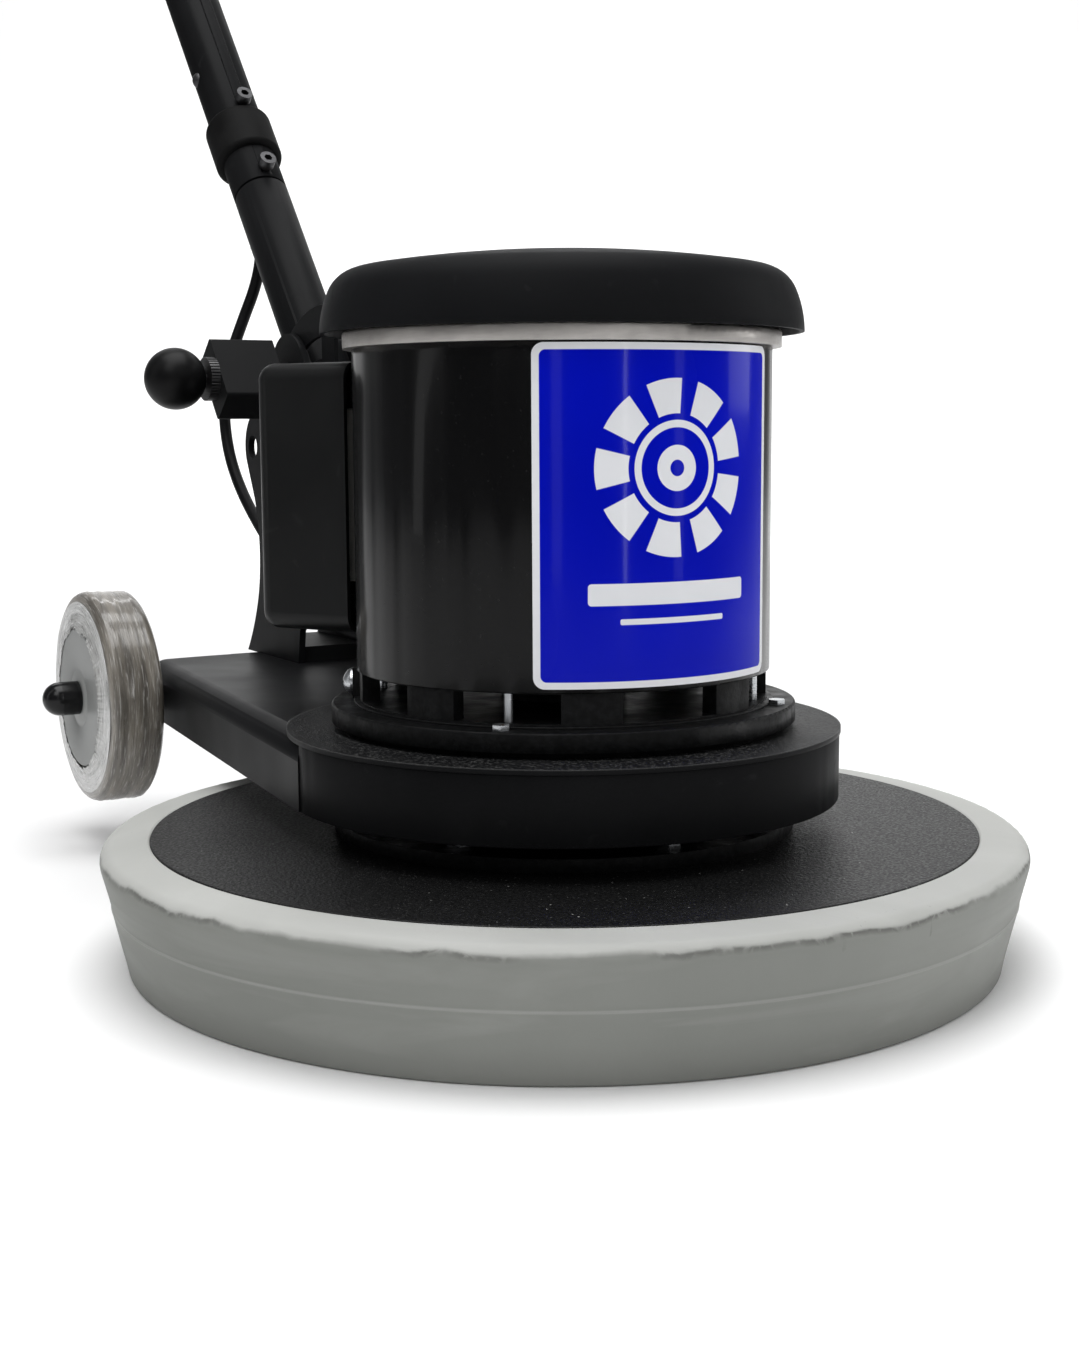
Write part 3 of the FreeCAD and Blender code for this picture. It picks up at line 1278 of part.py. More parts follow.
fill_sheet()
deck_pan()
bumper_ring()
driver_plate()
diamond_segments()
hub_flange()
drive_bolts()
gearbox_housing()
gearbox_lid()
sun_pinion()
planet_gears()
ring_gear()
planet_carrier()
bearings_and_seals()
chassis_platform()
chassis_band()
chassis_bolts()
motor_base()
ground_screw()
motor_can()
label_plate()
end_shield()
stator_core()
stator_windings()
tie_rods()
dome_cover()
cooling_fan()
rotor_shaft()
rotor_core()
capacitor_cover()
capacitors()
can_gland()
axle()
wheel("left", -1)
wheel("right", 1)
axle_caps()
handle_bracket()
pivot_bolt()
plunger_block()
plunger_collar()
plunger_pin()
ball_knob()
plunger_spring()
tilt_sectors()
lower_tube()
upper_tube()
tube_collar()
tube_screws()
hand_grips()
switch_housing()
switch_unit()
trigger_hinges()
trigger("left", -1)
trigger("right", 1)
safety_button()
handle_glands()
motor_lead()
check_and_export()
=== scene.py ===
import json
import math

import bmesh
import bpy
from mathutils import Matrix, Vector, noise


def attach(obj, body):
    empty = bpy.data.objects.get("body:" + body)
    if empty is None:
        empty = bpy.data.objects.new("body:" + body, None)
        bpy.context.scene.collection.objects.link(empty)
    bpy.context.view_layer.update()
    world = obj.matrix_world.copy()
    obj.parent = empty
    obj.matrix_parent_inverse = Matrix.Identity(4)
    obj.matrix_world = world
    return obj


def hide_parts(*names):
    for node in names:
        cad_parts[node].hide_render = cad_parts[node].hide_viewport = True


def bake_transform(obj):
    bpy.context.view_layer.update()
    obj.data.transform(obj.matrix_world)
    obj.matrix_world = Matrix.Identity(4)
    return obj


# Looks of a walk-behind concrete grinder. Sizes are in millimetres and scaled by MM on the way in.
# +Z up, +Y towards the operator, origin on the floor under the motor's axis.

MM = 0.001
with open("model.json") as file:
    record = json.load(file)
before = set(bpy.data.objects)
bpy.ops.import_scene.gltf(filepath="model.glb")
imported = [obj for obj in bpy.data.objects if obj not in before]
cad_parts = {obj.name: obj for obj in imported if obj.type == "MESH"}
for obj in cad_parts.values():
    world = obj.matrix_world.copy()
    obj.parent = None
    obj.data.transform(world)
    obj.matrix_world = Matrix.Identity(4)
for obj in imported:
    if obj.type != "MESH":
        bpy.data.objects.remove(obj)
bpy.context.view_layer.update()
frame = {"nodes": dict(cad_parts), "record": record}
nodes = frame["nodes"]

# The handle's hinge, and how far the handle leans back at rest.
PIVOT = Vector((0, 303.6, 288.0))
TILT = math.radians(40.1)

# Points that steer the motor lead, from its hole in the handle tube to the motor's gland.
LEAD_ROUTE = [
    (0, 486.3, 480), (0, 486.3, 457), (-3, 493, 432), (-8, 512, 405), (-13, 535, 372),
    (-15, 545, 333), (-15, 536, 297), (-15, 510, 267), (-15, 470, 239), (-13, 425, 211),
    (-11, 378, 184), (-8, 329, 167), (-5, 279, 162), (-2, 231, 170), (0, 190, 186),
    (0, 158, 195), (0, 131, 195),
]
LEAD_DIAMETER = 9.5

# Height of the moulding line round the bumper.
SEAM_HEIGHT = 40.4

# The label: a thin plate on the motor can, and the plain sign printed on it.
LABEL_RADIUS = 125.05
LABEL_THICKNESS = 0.45
LABEL_HALF_WIDTH = 81.8
LABEL_LOW = 175.2
LABEL_HIGH = 361.8
LABEL_CORNER = 6.5
SIGN_RISE = 26.0
SIGN_SEGMENTS = 9

# The transport wheels: centre of the left and right one, and the film stretched over the tyres.
WHEEL_OUT = 159
WHEEL_BACK = 420
WHEEL_HEIGHT = 115
FILM_THICKNESS = 0.15


# ---------------------------------------------------------------- materials


class Surface:
    """A node material built round one Principled shader, with helpers for its textures."""

    def __init__(self, name, roughness, metallic=0.0, specular=0.5, coat=0.0, coat_roughness=0.1):
        self.material = bpy.data.materials.new(name)
        self.material.use_nodes = True
        self.tree = self.material.node_tree
        self.shader = self.tree.nodes["Principled BSDF"]
        self.shader.inputs["Metallic"].default_value = metallic
        self.shader.inputs["Roughness"].default_value = roughness
        self.shader.inputs["Specular IOR Level"].default_value = specular
        self.shader.inputs["Coat Weight"].default_value = coat
        self.shader.inputs["Coat Roughness"].default_value = coat_roughness
        self.place = self.tree.nodes.new("ShaderNodeTexCoord").outputs["Object"]

    def feed(self, socket, given):
        """Link a texture's socket into a socket, or set the socket to a constant."""
        if isinstance(given, bpy.types.NodeSocket):
            self.tree.links.new(given, socket)
        else:
            socket.default_value = given

    def add(self, kind, **inputs):
        made = self.tree.nodes.new(f"ShaderNode{kind}")
        for name, given in inputs.items():
            self.feed(made.inputs[name.replace("_", " ")], given)
        return made

    def stretched(self, x, y, z):
        """The place on the object, scaled unevenly so that a texture runs in streaks."""
        return self.add("Mapping", Vector=self.place, Scale=(x, y, z)).outputs["Vector"]

    def noise(self, scale, detail=3.0, place=None, distortion=0.0):
        made = self.add("TexNoise", Vector=place or self.place, Scale=scale, Detail=detail,
                        Distortion=distortion)
        return made.outputs["Fac"]

    def range(self, fac, low, high, to_low=0.0, to_high=1.0):
        """Map low..high of a texture to to_low..to_high, held outside it."""
        made = self.add("MapRange", Value=fac, From_Min=low, From_Max=high,
                        To_Min=to_low, To_Max=to_high)
        return made.outputs["Result"]

    def mix(self, fac, first, second):
        """Colour first where fac is 0 and second where it is 1."""
        made = self.tree.nodes.new("ShaderNodeMix")
        made.data_type = "RGBA"
        self.feed(made.inputs[0], fac)
        for index, given in ((6, first), (7, second)):
            self.feed(made.inputs[index], (*given, 1) if isinstance(given, tuple) else given)
        return made.outputs[2]

    def maths(self, operation, first, second=0.0):
        made = self.tree.nodes.new("ShaderNodeMath")
        made.operation = operation
        self.feed(made.inputs[0], first)
        self.feed(made.inputs[1], second)
        return made.outputs[0]

    def both(self, first, second):
        return self.maths("MULTIPLY", first, second)

    def off(self, first, second):
        """Distance of a value from another."""
        return self.maths("ABSOLUTE", self.maths("SUBTRACT", first, second))

    def length(self, x, y):
        return self.maths("SQRT", self.maths("ADD", self.both(x, x), self.both(y, y)))

    def axes(self):
        """The place on the object as its three separate coordinates, in metres."""
        return self.add("SeparateXYZ", Vector=self.place).outputs

    def colour(self, socket):
        self.tree.links.new(socket, self.shader.inputs["Base Color"])

    def rough(self, socket):
        self.tree.links.new(socket, self.shader.inputs["Roughness"])

    def bump(self, *layers):
        """Stack (height, depth in mm, strength) layers of bump."""
        below = None
        for height, depth, strength in layers:
            made = self.add("Bump", Height=height, Distance=depth * MM, Strength=strength)
            if below is not None:
                self.tree.links.new(below, made.inputs["Normal"])
            below = made.outputs["Normal"]
        self.tree.links.new(below, self.shader.inputs["Normal"])


def dark_coat(name, base, roughness, grain, grain_depth, dust=0.25, specular=0.5):
    """Black paint, powder coat or moulding: fine grain, cloudy sheen, pale dust and rubbed spots."""
    s = Surface(name, roughness, specular=specular)
    cloud = s.noise(9, 4)
    fine = s.noise(grain, 2)
    marks = s.noise(70, 8, distortion=0.6)
    light = tuple(min(1.0, part * 1.9 + 0.006) for part in base)
    shade = s.mix(s.range(cloud, 0.35, 0.7, 0.0, dust), base, light)
    rubbed = tuple(part * 2 + 0.02 for part in base)
    s.colour(s.mix(s.range(marks, 0.66, 0.74, 0.0, dust * 0.8), shade, rubbed))
    worn = s.maths("ADD", s.range(cloud, 0.3, 0.7, roughness - 0.07, roughness + 0.07),
                   s.range(marks, 0.6, 0.8, 0.0, 0.1))
    s.rough(worn)
    s.bump((s.noise(45, 2), 0.25, 0.15), (fine, grain_depth, 0.5))
    return s.material


def deck_material():
    """Coarse black coat of the round deck, with bright mineral specks."""
    s = Surface("deck_black", 0.5, specular=0.24)
    cloud = s.noise(7, 5)
    grain = s.noise(620, 3)
    cells = s.add("TexVoronoi", Vector=s.place, Scale=330.0)
    chance = s.add("SeparateColor", Color=cells.outputs["Color"]).outputs
    chosen = s.both(s.range(chance[0], 0.90, 1.0, 0.1, 1.0), s.range(chance[1], 0.72, 0.74))
    speck = s.both(s.range(cells.outputs["Distance"], 0.08, 0.22, 1.0, 0.0), chosen)
    dust = s.range(cloud, 0.35, 0.75, 0.0, 0.6)
    dusty = s.mix(dust, (0.0022, 0.0022, 0.0023), (0.006, 0.006, 0.0062))
    grained = s.mix(s.range(grain, 0.55, 0.75, 0.0, 0.45), dusty, (0.0095, 0.0095, 0.0098))
    s.colour(s.mix(speck, grained, (0.55, 0.55, 0.53)))
    s.rough(s.range(grain, 0.35, 0.7, 0.36, 0.6))
    s.bump((grain, 0.5, 0.9), (cells.outputs["Distance"], 0.3, 0.35))
    return s.material


def bumper_material():
    """Grey moulded rubber: darker walls with painted shade towards the floor, a paler top that is partly
    chafe and partly painted top light, a painted highlight along the moulding line, and torn marks along
    the rim.
    """
    s = Surface("bumper_grey", 0.62, specular=0.3)
    height = s.axes()["Z"]
    cloud = s.noise(5, 6)
    smear = s.noise(7, 6, s.stretched(1, 1, 6), 0.8)
    patch = s.noise(11, 4, distortion=0.5)
    ragged = s.noise(120, 8, distortion=1.0)
    wall = s.mix(s.range(cloud, 0.3, 0.7), (0.215, 0.222, 0.205), (0.265, 0.272, 0.253))
    wall = s.mix(s.range(smear, 0.54, 0.72, 0.0, 0.35), wall, (0.34, 0.345, 0.325))
    # Painted shade: the wall's colour darkens towards the floor, where the skirt meets it.
    wall = s.mix(s.range(height, 0.022, 0.002, 0.0, 0.3), wall, (0.17, 0.17, 0.158))
    wander = s.range(s.noise(26, 8, distortion=0.8), 0.3, 0.7, -0.0016, 0.0016)
    edge = s.maths("ADD", height, wander)
    # The paler top face is partly chafe and partly painted light from above.
    face = s.mix(s.range(smear, 0.3, 0.7), (0.40, 0.405, 0.385), (0.50, 0.505, 0.485))
    body = s.mix(s.range(edge, 0.0685, 0.0712), wall, face)
    below = s.both(s.range(edge, 0.0665, 0.0690), s.range(edge, 0.0702, 0.0692))
    mark = s.both(s.both(below, s.range(patch, 0.40, 0.52)), s.range(ragged, 0.34, 0.50))
    body = s.mix(s.both(mark, 0.75), body, (0.085, 0.085, 0.078))
    scratch = s.range(s.noise(300, 2, s.stretched(1, 1, 0.12), 0.3), 0.70, 0.74, 0.0, 0.35)
    scratch = s.both(scratch, s.range(patch, 0.56, 0.64))
    body = s.mix(s.both(scratch, s.range(height, 0.035, 0.055)), body, (0.12, 0.12, 0.11))
    # Painted highlight: a pale line along the moulding line, where its lip would catch light from above.
    line = s.range(s.off(height, SEAM_HEIGHT * MM), 0.0003, 0.0012, 0.40, 0.0)
    s.colour(s.mix(line, body, (0.45, 0.455, 0.435)))
    s.rough(s.range(smear, 0.3, 0.7, 0.5, 0.75))
    s.bump((cloud, 3.0, 0.25), (s.both(mark, -1.0), 0.5, 0.5), (s.noise(420, 2), 0.12, 0.35))
    return s.material


def metal(name, base, roughness, grain=(1, 1, 12), worn=0.25):
    """Machined, turned or plated metal with fine streaks and dulled patches."""
    s = Surface(name, roughness, metallic=1.0)
    streak = s.noise(140, 3, s.stretched(*grain))
    patch = s.noise(22, 5)
    dull = tuple(part * (1 - worn * 1.3) for part in base)
    s.colour(s.mix(s.range(patch, 0.35, 0.7), base, dull))
    s.rough(s.maths("ADD", s.range(streak, 0.3, 0.7, roughness - 0.1, roughness + 0.1),
                    s.range(patch, 0.5, 0.8, 0.0, 0.15)))
    s.bump((streak, 0.06, 0.4), (s.noise(700, 2), 0.03, 0.3))
    return s.material


def cast(name, base, roughness, metallic):
    """Sand-cast surface, pitted and slightly lumpy."""
    s = Surface(name, roughness, metallic=metallic, specular=0.1)
    pits = s.noise(260, 6)
    lump = s.noise(60, 3)
    pitted = tuple(part * 0.6 for part in base)
    proud = tuple(part * 1.35 for part in base)
    s.colour(s.mix(s.range(pits, 0.4, 0.65), pitted, proud))
    s.rough(s.range(lump, 0.3, 0.7, roughness - 0.08, roughness + 0.12))
    s.bump((lump, 0.8, 0.5), (pits, 0.5, 0.75))
    return s.material


def gloss_paint():
    """Gloss black of the motor can, with a soft orange peel, smears and a light film of dust."""
    s = Surface("gloss_black", 0.2, specular=0.10, coat=0.12, coat_roughness=0.08)
    smear = s.noise(11, 6, s.stretched(1, 1, 0.35), 0.7)
    dust = s.noise(480, 2)
    wiped = s.range(smear, 0.45, 0.75, 0.0, 0.5)
    shade = s.mix(wiped, (0.0035, 0.0035, 0.0038), (0.008, 0.008, 0.0085))
    s.colour(s.mix(s.range(dust, 0.70, 0.76, 0.0, 0.3), shade, (0.05, 0.05, 0.05)))
    s.rough(s.range(smear, 0.35, 0.75, 0.17, 0.34))
    s.bump((s.noise(120, 2), 0.12, 0.12), (s.noise(14, 2), 0.9, 0.10))
    return s.material


def rubber(name, base, roughness):
    """Matt rubber with a pale bloom and a fine grain."""
    s = Surface(name, roughness, specular=0.06)
    bloom = s.noise(26, 6)
    s.colour(s.mix(s.range(bloom, 0.4, 0.72), base, tuple(part * 1.7 + 0.004 for part in base)))
    s.rough(s.range(bloom, 0.3, 0.7, roughness - 0.08, roughness + 0.1))
    s.bump((s.noise(520, 3), 0.12, 0.55), (bloom, 0.3, 0.2))
    return s.material


def platform_material():
    """Powder coat, with a coarse and dusty grain on the round plate under the motor, and a painted
    highlight round the plate's rim.
    """
    s = Surface("platform_powder", 0.47, specular=0.06)
    axes = s.axes()
    out = s.length(axes["X"], axes["Y"])
    round_plate = s.both(s.range(out, 0.1683, 0.1688, 1.0, 0.0), s.range(axes["Z"], 0.1378, 0.1384))
    # Painted highlight: a pale ring at the round plate's edge, over the seam with the band.
    rim = s.both(s.range(out, 0.1668, 0.1680), round_plate)
    cloud = s.noise(9, 4)
    gritty = s.both(s.range(s.noise(560, 3), 0.50, 0.68), round_plate)
    dusty = s.range(cloud, 0.35, 0.7, 0.0, 0.3)
    shade = s.mix(dusty, (0.0065, 0.0067, 0.0073), (0.016, 0.016, 0.017))
    shade = s.mix(s.both(gritty, 0.5), shade, (0.11, 0.11, 0.108))
    # The rim mask paints that highlight into the colour.
    s.colour(s.mix(s.both(rim, 0.5), shade, (0.10, 0.10, 0.10)))
    s.rough(s.maths("ADD", s.range(cloud, 0.3, 0.7, 0.38, 0.5), s.both(gritty, 0.15)))
    s.bump((s.noise(45, 2), 0.25, 0.15), (s.noise(900, 2), 0.1, 0.5), (gritty, 0.4, 0.8))
    return s.material


def label_material():
    """Blue print with a white border, a plain grinding-disc sign and two plain bars."""
    s = Surface("label_film", 0.2, specular=0.03, coat=0.14, coat_roughness=0.08)
    axes = s.axes()
    around = s.maths("ARCTAN2", axes["X"], s.both(axes["Y"], -1.0))
    across = s.both(around, LABEL_RADIUS + LABEL_THICKNESS)
    up = s.maths("SUBTRACT", s.both(axes["Z"], 1 / MM), (LABEL_LOW + LABEL_HIGH) / 2)

    def inside(distance):
        return s.range(distance, -0.12, 0.12, 1.0, 0.0)

    def bar(centre, half_wide, half_high, corner):
        x = s.maths("SUBTRACT", s.maths("ABSOLUTE", across), half_wide - corner)
        y = s.maths("SUBTRACT", s.off(up, centre), half_high - corner)
        past_corner = s.length(s.maths("MAXIMUM", x), s.maths("MAXIMUM", y))
        return inside(s.maths("SUBTRACT", past_corner, corner))

    over = s.maths("SUBTRACT", up, SIGN_RISE)
    out = s.length(across, over)

    def ring(middle, half):
        return inside(s.maths("SUBTRACT", s.off(out, middle), half))

    turn = s.both(s.maths("ARCTAN2", over, across), SIGN_SEGMENTS / (2 * math.pi))
    segment = s.range(s.off(s.maths("FRACT", turn), 0.5), 0.325, 0.34, 1.0, 0.0)
    sign = s.both(ring(39.0, 9.5), segment)
    rings = (ring(24.0, 2.0), ring(8.5, 4.0))
    bars = (bar(-42.0, 52.0, 6.0, 2.0), bar(-57.0, 34.0, 1.6, 1.0))
    for shape in (*rings, *bars):
        sign = s.maths("MAXIMUM", sign, shape)
    field = bar(0.0, 78.0, 89.5, 3.5)
    fade = s.range(s.noise(5, 3), 0.3, 0.7)
    blue = s.mix(fade, (0.0, 0.004, 0.44), (0.0, 0.006, 0.60))
    white = (0.84, 0.85, 0.88)
    s.colour(s.mix(field, white, s.mix(sign, blue, white)))
    s.rough(s.range(s.noise(16, 5, s.stretched(1, 1, 0.3)), 0.3, 0.75, 0.15, 0.30))
    s.bump((s.noise(18, 2), 0.6, 0.10), (s.noise(300, 2), 0.03, 0.2))
    return s.material


MATERIALS = {
    "black_powder": dark_coat("black_powder", (0.0055, 0.0057, 0.0062), 0.45, 900, 0.10, specular=0.05),
    "deck_black": deck_material(),
    "bumper_grey": bumper_material(),
    "gloss_black": gloss_paint(),
    "cast_black": cast("cast_black", (0.005, 0.0052, 0.0055), 0.45, 0.0),
    "dome_plastic": dark_coat("dome_plastic", (0.0065, 0.0068, 0.0075), 0.5, 1300, 0.09, 0.18, 0.03),
    "box_plastic": dark_coat("box_plastic", (0.0045, 0.0048, 0.0050), 0.34, 1100, 0.05, 0.2, 0.16),
    "label_print": label_material(),
    "raw_aluminium": metal("raw_aluminium", (0.46, 0.44, 0.42), 0.42, (1, 1, 9)),
    "zinc": metal("zinc", (0.62, 0.64, 0.66), 0.28),
    "plain_steel": metal("plain_steel", (0.42, 0.42, 0.43), 0.33),
    "gear_steel": metal("gear_steel", (0.30, 0.30, 0.31), 0.3),
    "laminations": metal("laminations", (0.22, 0.22, 0.235), 0.5, (1, 1, 30)),
    "copper": metal("copper", (0.62, 0.27, 0.12), 0.35, (6, 6, 1)),
    "rubber_black": rubber("rubber_black", (0.003, 0.003, 0.0031), 0.6),
    "knob_black": dark_coat("knob_black", (0.003, 0.003, 0.0033), 0.4, 1400, 0.04, 0.12, 0.12),
    "tyre_grey": rubber("tyre_grey", (0.16, 0.15, 0.135), 0.6),
    "hub_grey": dark_coat("hub_grey", (0.235, 0.24, 0.235), 0.45, 800, 0.05, 0.12, 0.3),
    "lead_black": rubber("lead_black", (0.005, 0.005, 0.0055), 0.36),
    "capacitor_white": dark_coat("capacitor_white", (0.55, 0.55, 0.52), 0.35, 700, 0.05, 0.1),
    "abrasive": cast("abrasive", (0.24, 0.20, 0.14), 0.6, 0.6),
    "switch_red": dark_coat("switch_red", (0.32, 0.02, 0.012), 0.32, 900, 0.03, 0.1),
}
OWN_MATERIALS = {
    "chassis_platform": platform_material(),
    "tube_screws": metal("screw_steel", (0.07, 0.07, 0.073), 0.45),
    "plunger_collar": metal("collar_steel", (0.09, 0.09, 0.092), 0.38),
    "axle_caps": dark_coat("cap_plastic", (0.004, 0.004, 0.0044), 0.22, 900, 0.02, 0.1, 0.25),
}
for row in frame["record"]["subparts"]:
    mesh = nodes[row["node"]].data
    mesh.materials.clear()
    mesh.materials.append(OWN_MATERIALS.get(row["node"], MATERIALS[row["material_slot"]]))


# ---------------------------------------------------------------- building pieces


def arced(corners, step=12):
    """A closed run of (x, y, radius) corners as points, with an arc where a corner has a radius."""
    points = []
    count = len(corners)
    for index, (x, y, *given) in enumerate(corners):
        here = Vector((x, y))
        radius = given[0] if given else 0
        if not radius:
            points.append(here)
            continue
        before = (Vector(corners[index - 1][:2]) - here).normalized()
        after = (Vector(corners[(index + 1) % count][:2]) - here).normalized()
        half = before.angle(after) / 2
        centre = here + (before + after).normalized() * (radius / math.sin(half))
        reach = radius / math.tan(half)
        start, end = here + before * reach - centre, here + after * reach - centre
        turn = start.angle_signed(end)
        pieces = max(2, round(abs(math.degrees(turn)) / step))
        for piece in range(pieces + 1):
            points.append(centre + Matrix.Rotation(-turn * piece / pieces, 2) @ start)
    return points


def finish_piece(name, mesh, body, slot, *stands_for, sharp=38, material=None):
    """Make an object of a mesh given in millimetres, and tie it to its body and its finish."""
    mesh.transform(Matrix.Scale(MM, 4))
    mesh.shade_smooth()
    mesh.set_sharp_from_angle(angle=math.radians(sharp))
    mesh.materials.clear()
    mesh.materials.append(material or MATERIALS[slot])
    piece = bpy.data.objects.new(name, mesh)
    bpy.context.scene.collection.objects.link(piece)
    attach(piece, body)
    if stands_for:
        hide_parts(*stands_for)
    return piece


def mesh_of(bm, name):
    bmesh.ops.recalc_face_normals(bm, faces=bm.faces)
    mesh = bpy.data.meshes.new(name)
    bm.to_mesh(mesh)
    bm.free()
    return mesh


def skin(bm, rows, closed=True):
    """Join rows of vertices, each row a closed ring, into a surface. closed joins the ends too."""
    for this, following in zip(rows, rows[1:] + rows[:1] if closed else rows[1:]):
        count = len(this)
        for index in range(count):
            after = (index + 1) % count
            bm.faces.new((this[index], following[index], following[after], this[after]))


def lathe(bm, corners, segments=160, place=Matrix(), shape=None):
    """Turn (radius, height, arc) corners about Z. shape(radius, angle, height) may alter a point."""
    rows = []
    for radius, height in arced(corners):
        if radius < 1e-4:
            rows.append([bm.verts.new(place @ Vector((0, 0, height)))])
            continue
        row = []
        for index in range(segments):
            angle = 2 * math.pi * index / segments
            r, h = shape(radius, angle, height) if shape else (radius, height)
            row.append(bm.verts.new(place @ Vector((r * math.cos(angle), r * math.sin(angle), h))))
        rows.append(row)
    for this, following in zip(rows, rows[1:] + rows[:1]):
        if len(this) == len(following) == 1:
            continue
        for index in range(segments):
            after = (index + 1) % segments
            if len(this) == 1:
                bm.faces.new((this[0], following[index], following[after]))
            elif len(following) == 1:
                bm.faces.new((this[index], following[0], this[after]))
            else:
                bm.faces.new((this[index], following[index], following[after], this[after]))


def plate(outlines, low, high, bevel, place):
    """A flat plate with rounded rims, from (x, y, radius) outlines, as a mesh."""
    curve = bpy.data.curves.new("plate", "CURVE")
    curve.dimensions = "2D"
    curve.fill_mode = "BOTH"
    for corners in outlines:
        points = arced(corners, step=8)
        spline = curve.splines.new("POLY")
        spline.points.add(len(points) - 1)
        for point, (x, y) in zip(spline.points, points):
            point.co = (x, y, 0, 1)
        spline.use_cyclic_u = True
    curve.extrude = (high - low) / 2 - bevel
    curve.bevel_depth = bevel
    curve.offset = -bevel
    curve.bevel_resolution = 2
    item = bpy.data.objects.new("plate", curve)
    bpy.context.scene.collection.objects.link(item)
    mesh = bpy.data.meshes.new_from_object(item)
    bpy.data.objects.remove(item)
    mesh.transform(place @ Matrix.Translation((0, 0, (high + low) / 2)))
    return mesh


def lathe_mesh(name, *args, **options):
    bm = bmesh.new()
    lathe(bm, *args, **options)
    return mesh_of(bm, name)


def along(axis, at):
    """The matrix that lays local Z along an axis, from a point."""
    turn = Vector((0, 0, 1)).rotation_difference(Vector(axis)).to_matrix().to_4x4()
    return Matrix.Translation(at) @ turn


ON_HANDLE = Matrix.Translation(PIVOT) @ Matrix.Rotation(-TILT, 4, "X")


# ---------------------------------------------------------------- motor lead


def motor_lead():
    """The lead as a tube on its route's NURBS line, running from the chassis to the handle."""
    curve = bpy.data.curves.new("lead_line", "CURVE")
    curve.dimensions = "3D"
    spline = curve.splines.new("NURBS")
    spline.points.add(len(LEAD_ROUTE) - 1)
    for point, place in zip(spline.points, LEAD_ROUTE):
        point.co = (*(Vector(place) * MM), 1)
    spline.order_u = 3
    spline.use_endpoint_u = True
    curve.resolution_u = 12
    line = bpy.data.objects.new("lead_line", curve)
    bpy.context.scene.collection.objects.link(line)
    bare = bpy.data.meshes.new_from_object(line)
    curve.bevel_depth = LEAD_DIAMETER / 2 * MM
    curve.bevel_resolution = 6
    curve.use_fill_caps = True
    mesh = bpy.data.meshes.new_from_object(line)
    bpy.data.objects.remove(line)
    mesh.shade_smooth()
    mesh.materials.append(MATERIALS["lead_black"])
    lead = bpy.data.objects.new("lead_sheath", mesh)
    bpy.context.scene.collection.objects.link(lead)
    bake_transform(lead)
    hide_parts("motor_lead")


motor_lead()


# ---------------------------------------------------------------- pieces with their own meshes


def bumper():
    """Rubber skirt: slightly uneven wall with a moulding line, and a chafed rim."""
    def wall(height, offset=0.0):
        """Radius of the leaning wall at a height."""
        return 264.5 + (height - 2.5) * 0.2362 + offset

    def uneven(radius, angle, height):
        cosine, sine = math.cos(angle), math.sin(angle)
        swell = noise.noise(Vector((cosine, sine, height / 90)) * 3) * 0.35
        rim = max(0.0, 1 - abs(height - 71.5) / 9) if radius > 262 else 0.0
        place = Vector((cosine * 22, sine * 22, height / 5))
        chafe = rim * 0.75 * abs(noise.noise(place))
        return radius + swell - chafe, height + rim * 0.3 * noise.noise(place * 1.7)

    corners = [(250.1, 0.7), (264.3, 0.0, 2.5)]
    corners += [(wall(height), height) for height in (9, 17, 25, 33)]
    seam = ((SEAM_HEIGHT - 1, 0.0), (SEAM_HEIGHT - 0.3, 0.2), (SEAM_HEIGHT + 0.5, -0.45))
    corners += [(wall(height, offset), height) for height, offset in seam]
    corners += [(wall(height, -0.45 + (height - 41) / 48), height) for height in (44, 50, 56, 61)]
    corners += [(281.3, 73.4, 8.5), (262, 74.9), (255.5, 75.5), (251.2, 75.9, 0.8), (250.1, 75.2)]
    mesh = lathe_mesh("bumper_skirt", corners, 480, shape=uneven)
    finish_piece("bumper_skirt", mesh, "chassis", "bumper_grey", "bumper_ring", sharp=50)


def label():
    """Thin printed plate wrapped on the can, with rounded corners."""
    half, corner = LABEL_HALF_WIDTH, LABEL_CORNER
    inner, outer = LABEL_RADIUS, LABEL_RADIUS + LABEL_THICKNESS
    columns = [-half + corner * (1 - math.cos(math.radians(9 * step))) for step in range(11)]
    columns += [-half + corner + (2 * half - 2 * corner) * step / 60 for step in range(1, 60)]
    columns += [-across for across in reversed(columns[:11])]
    bm = bmesh.new()
    rows = []
    for across in columns:
        past = max(0.0, abs(across) - (half - corner))
        drop = corner - math.sqrt(max(corner * corner - past * past, 0.0))
        angle = across / inner - math.pi / 2
        low, high = LABEL_LOW + drop, LABEL_HIGH - drop
        section = ((inner, low), (outer, low), (outer, high), (inner, high))
        rows.append([bm.verts.new((radius * math.cos(angle), radius * math.sin(angle), height))
                     for radius, height in section])
    skin(bm, rows, closed=False)
    bm.faces.new(rows[0])
    bm.faces.new(rows[-1])
    finish_piece("label_print", mesh_of(bm, "label_print"), "chassis", "label_print", "label_plate")


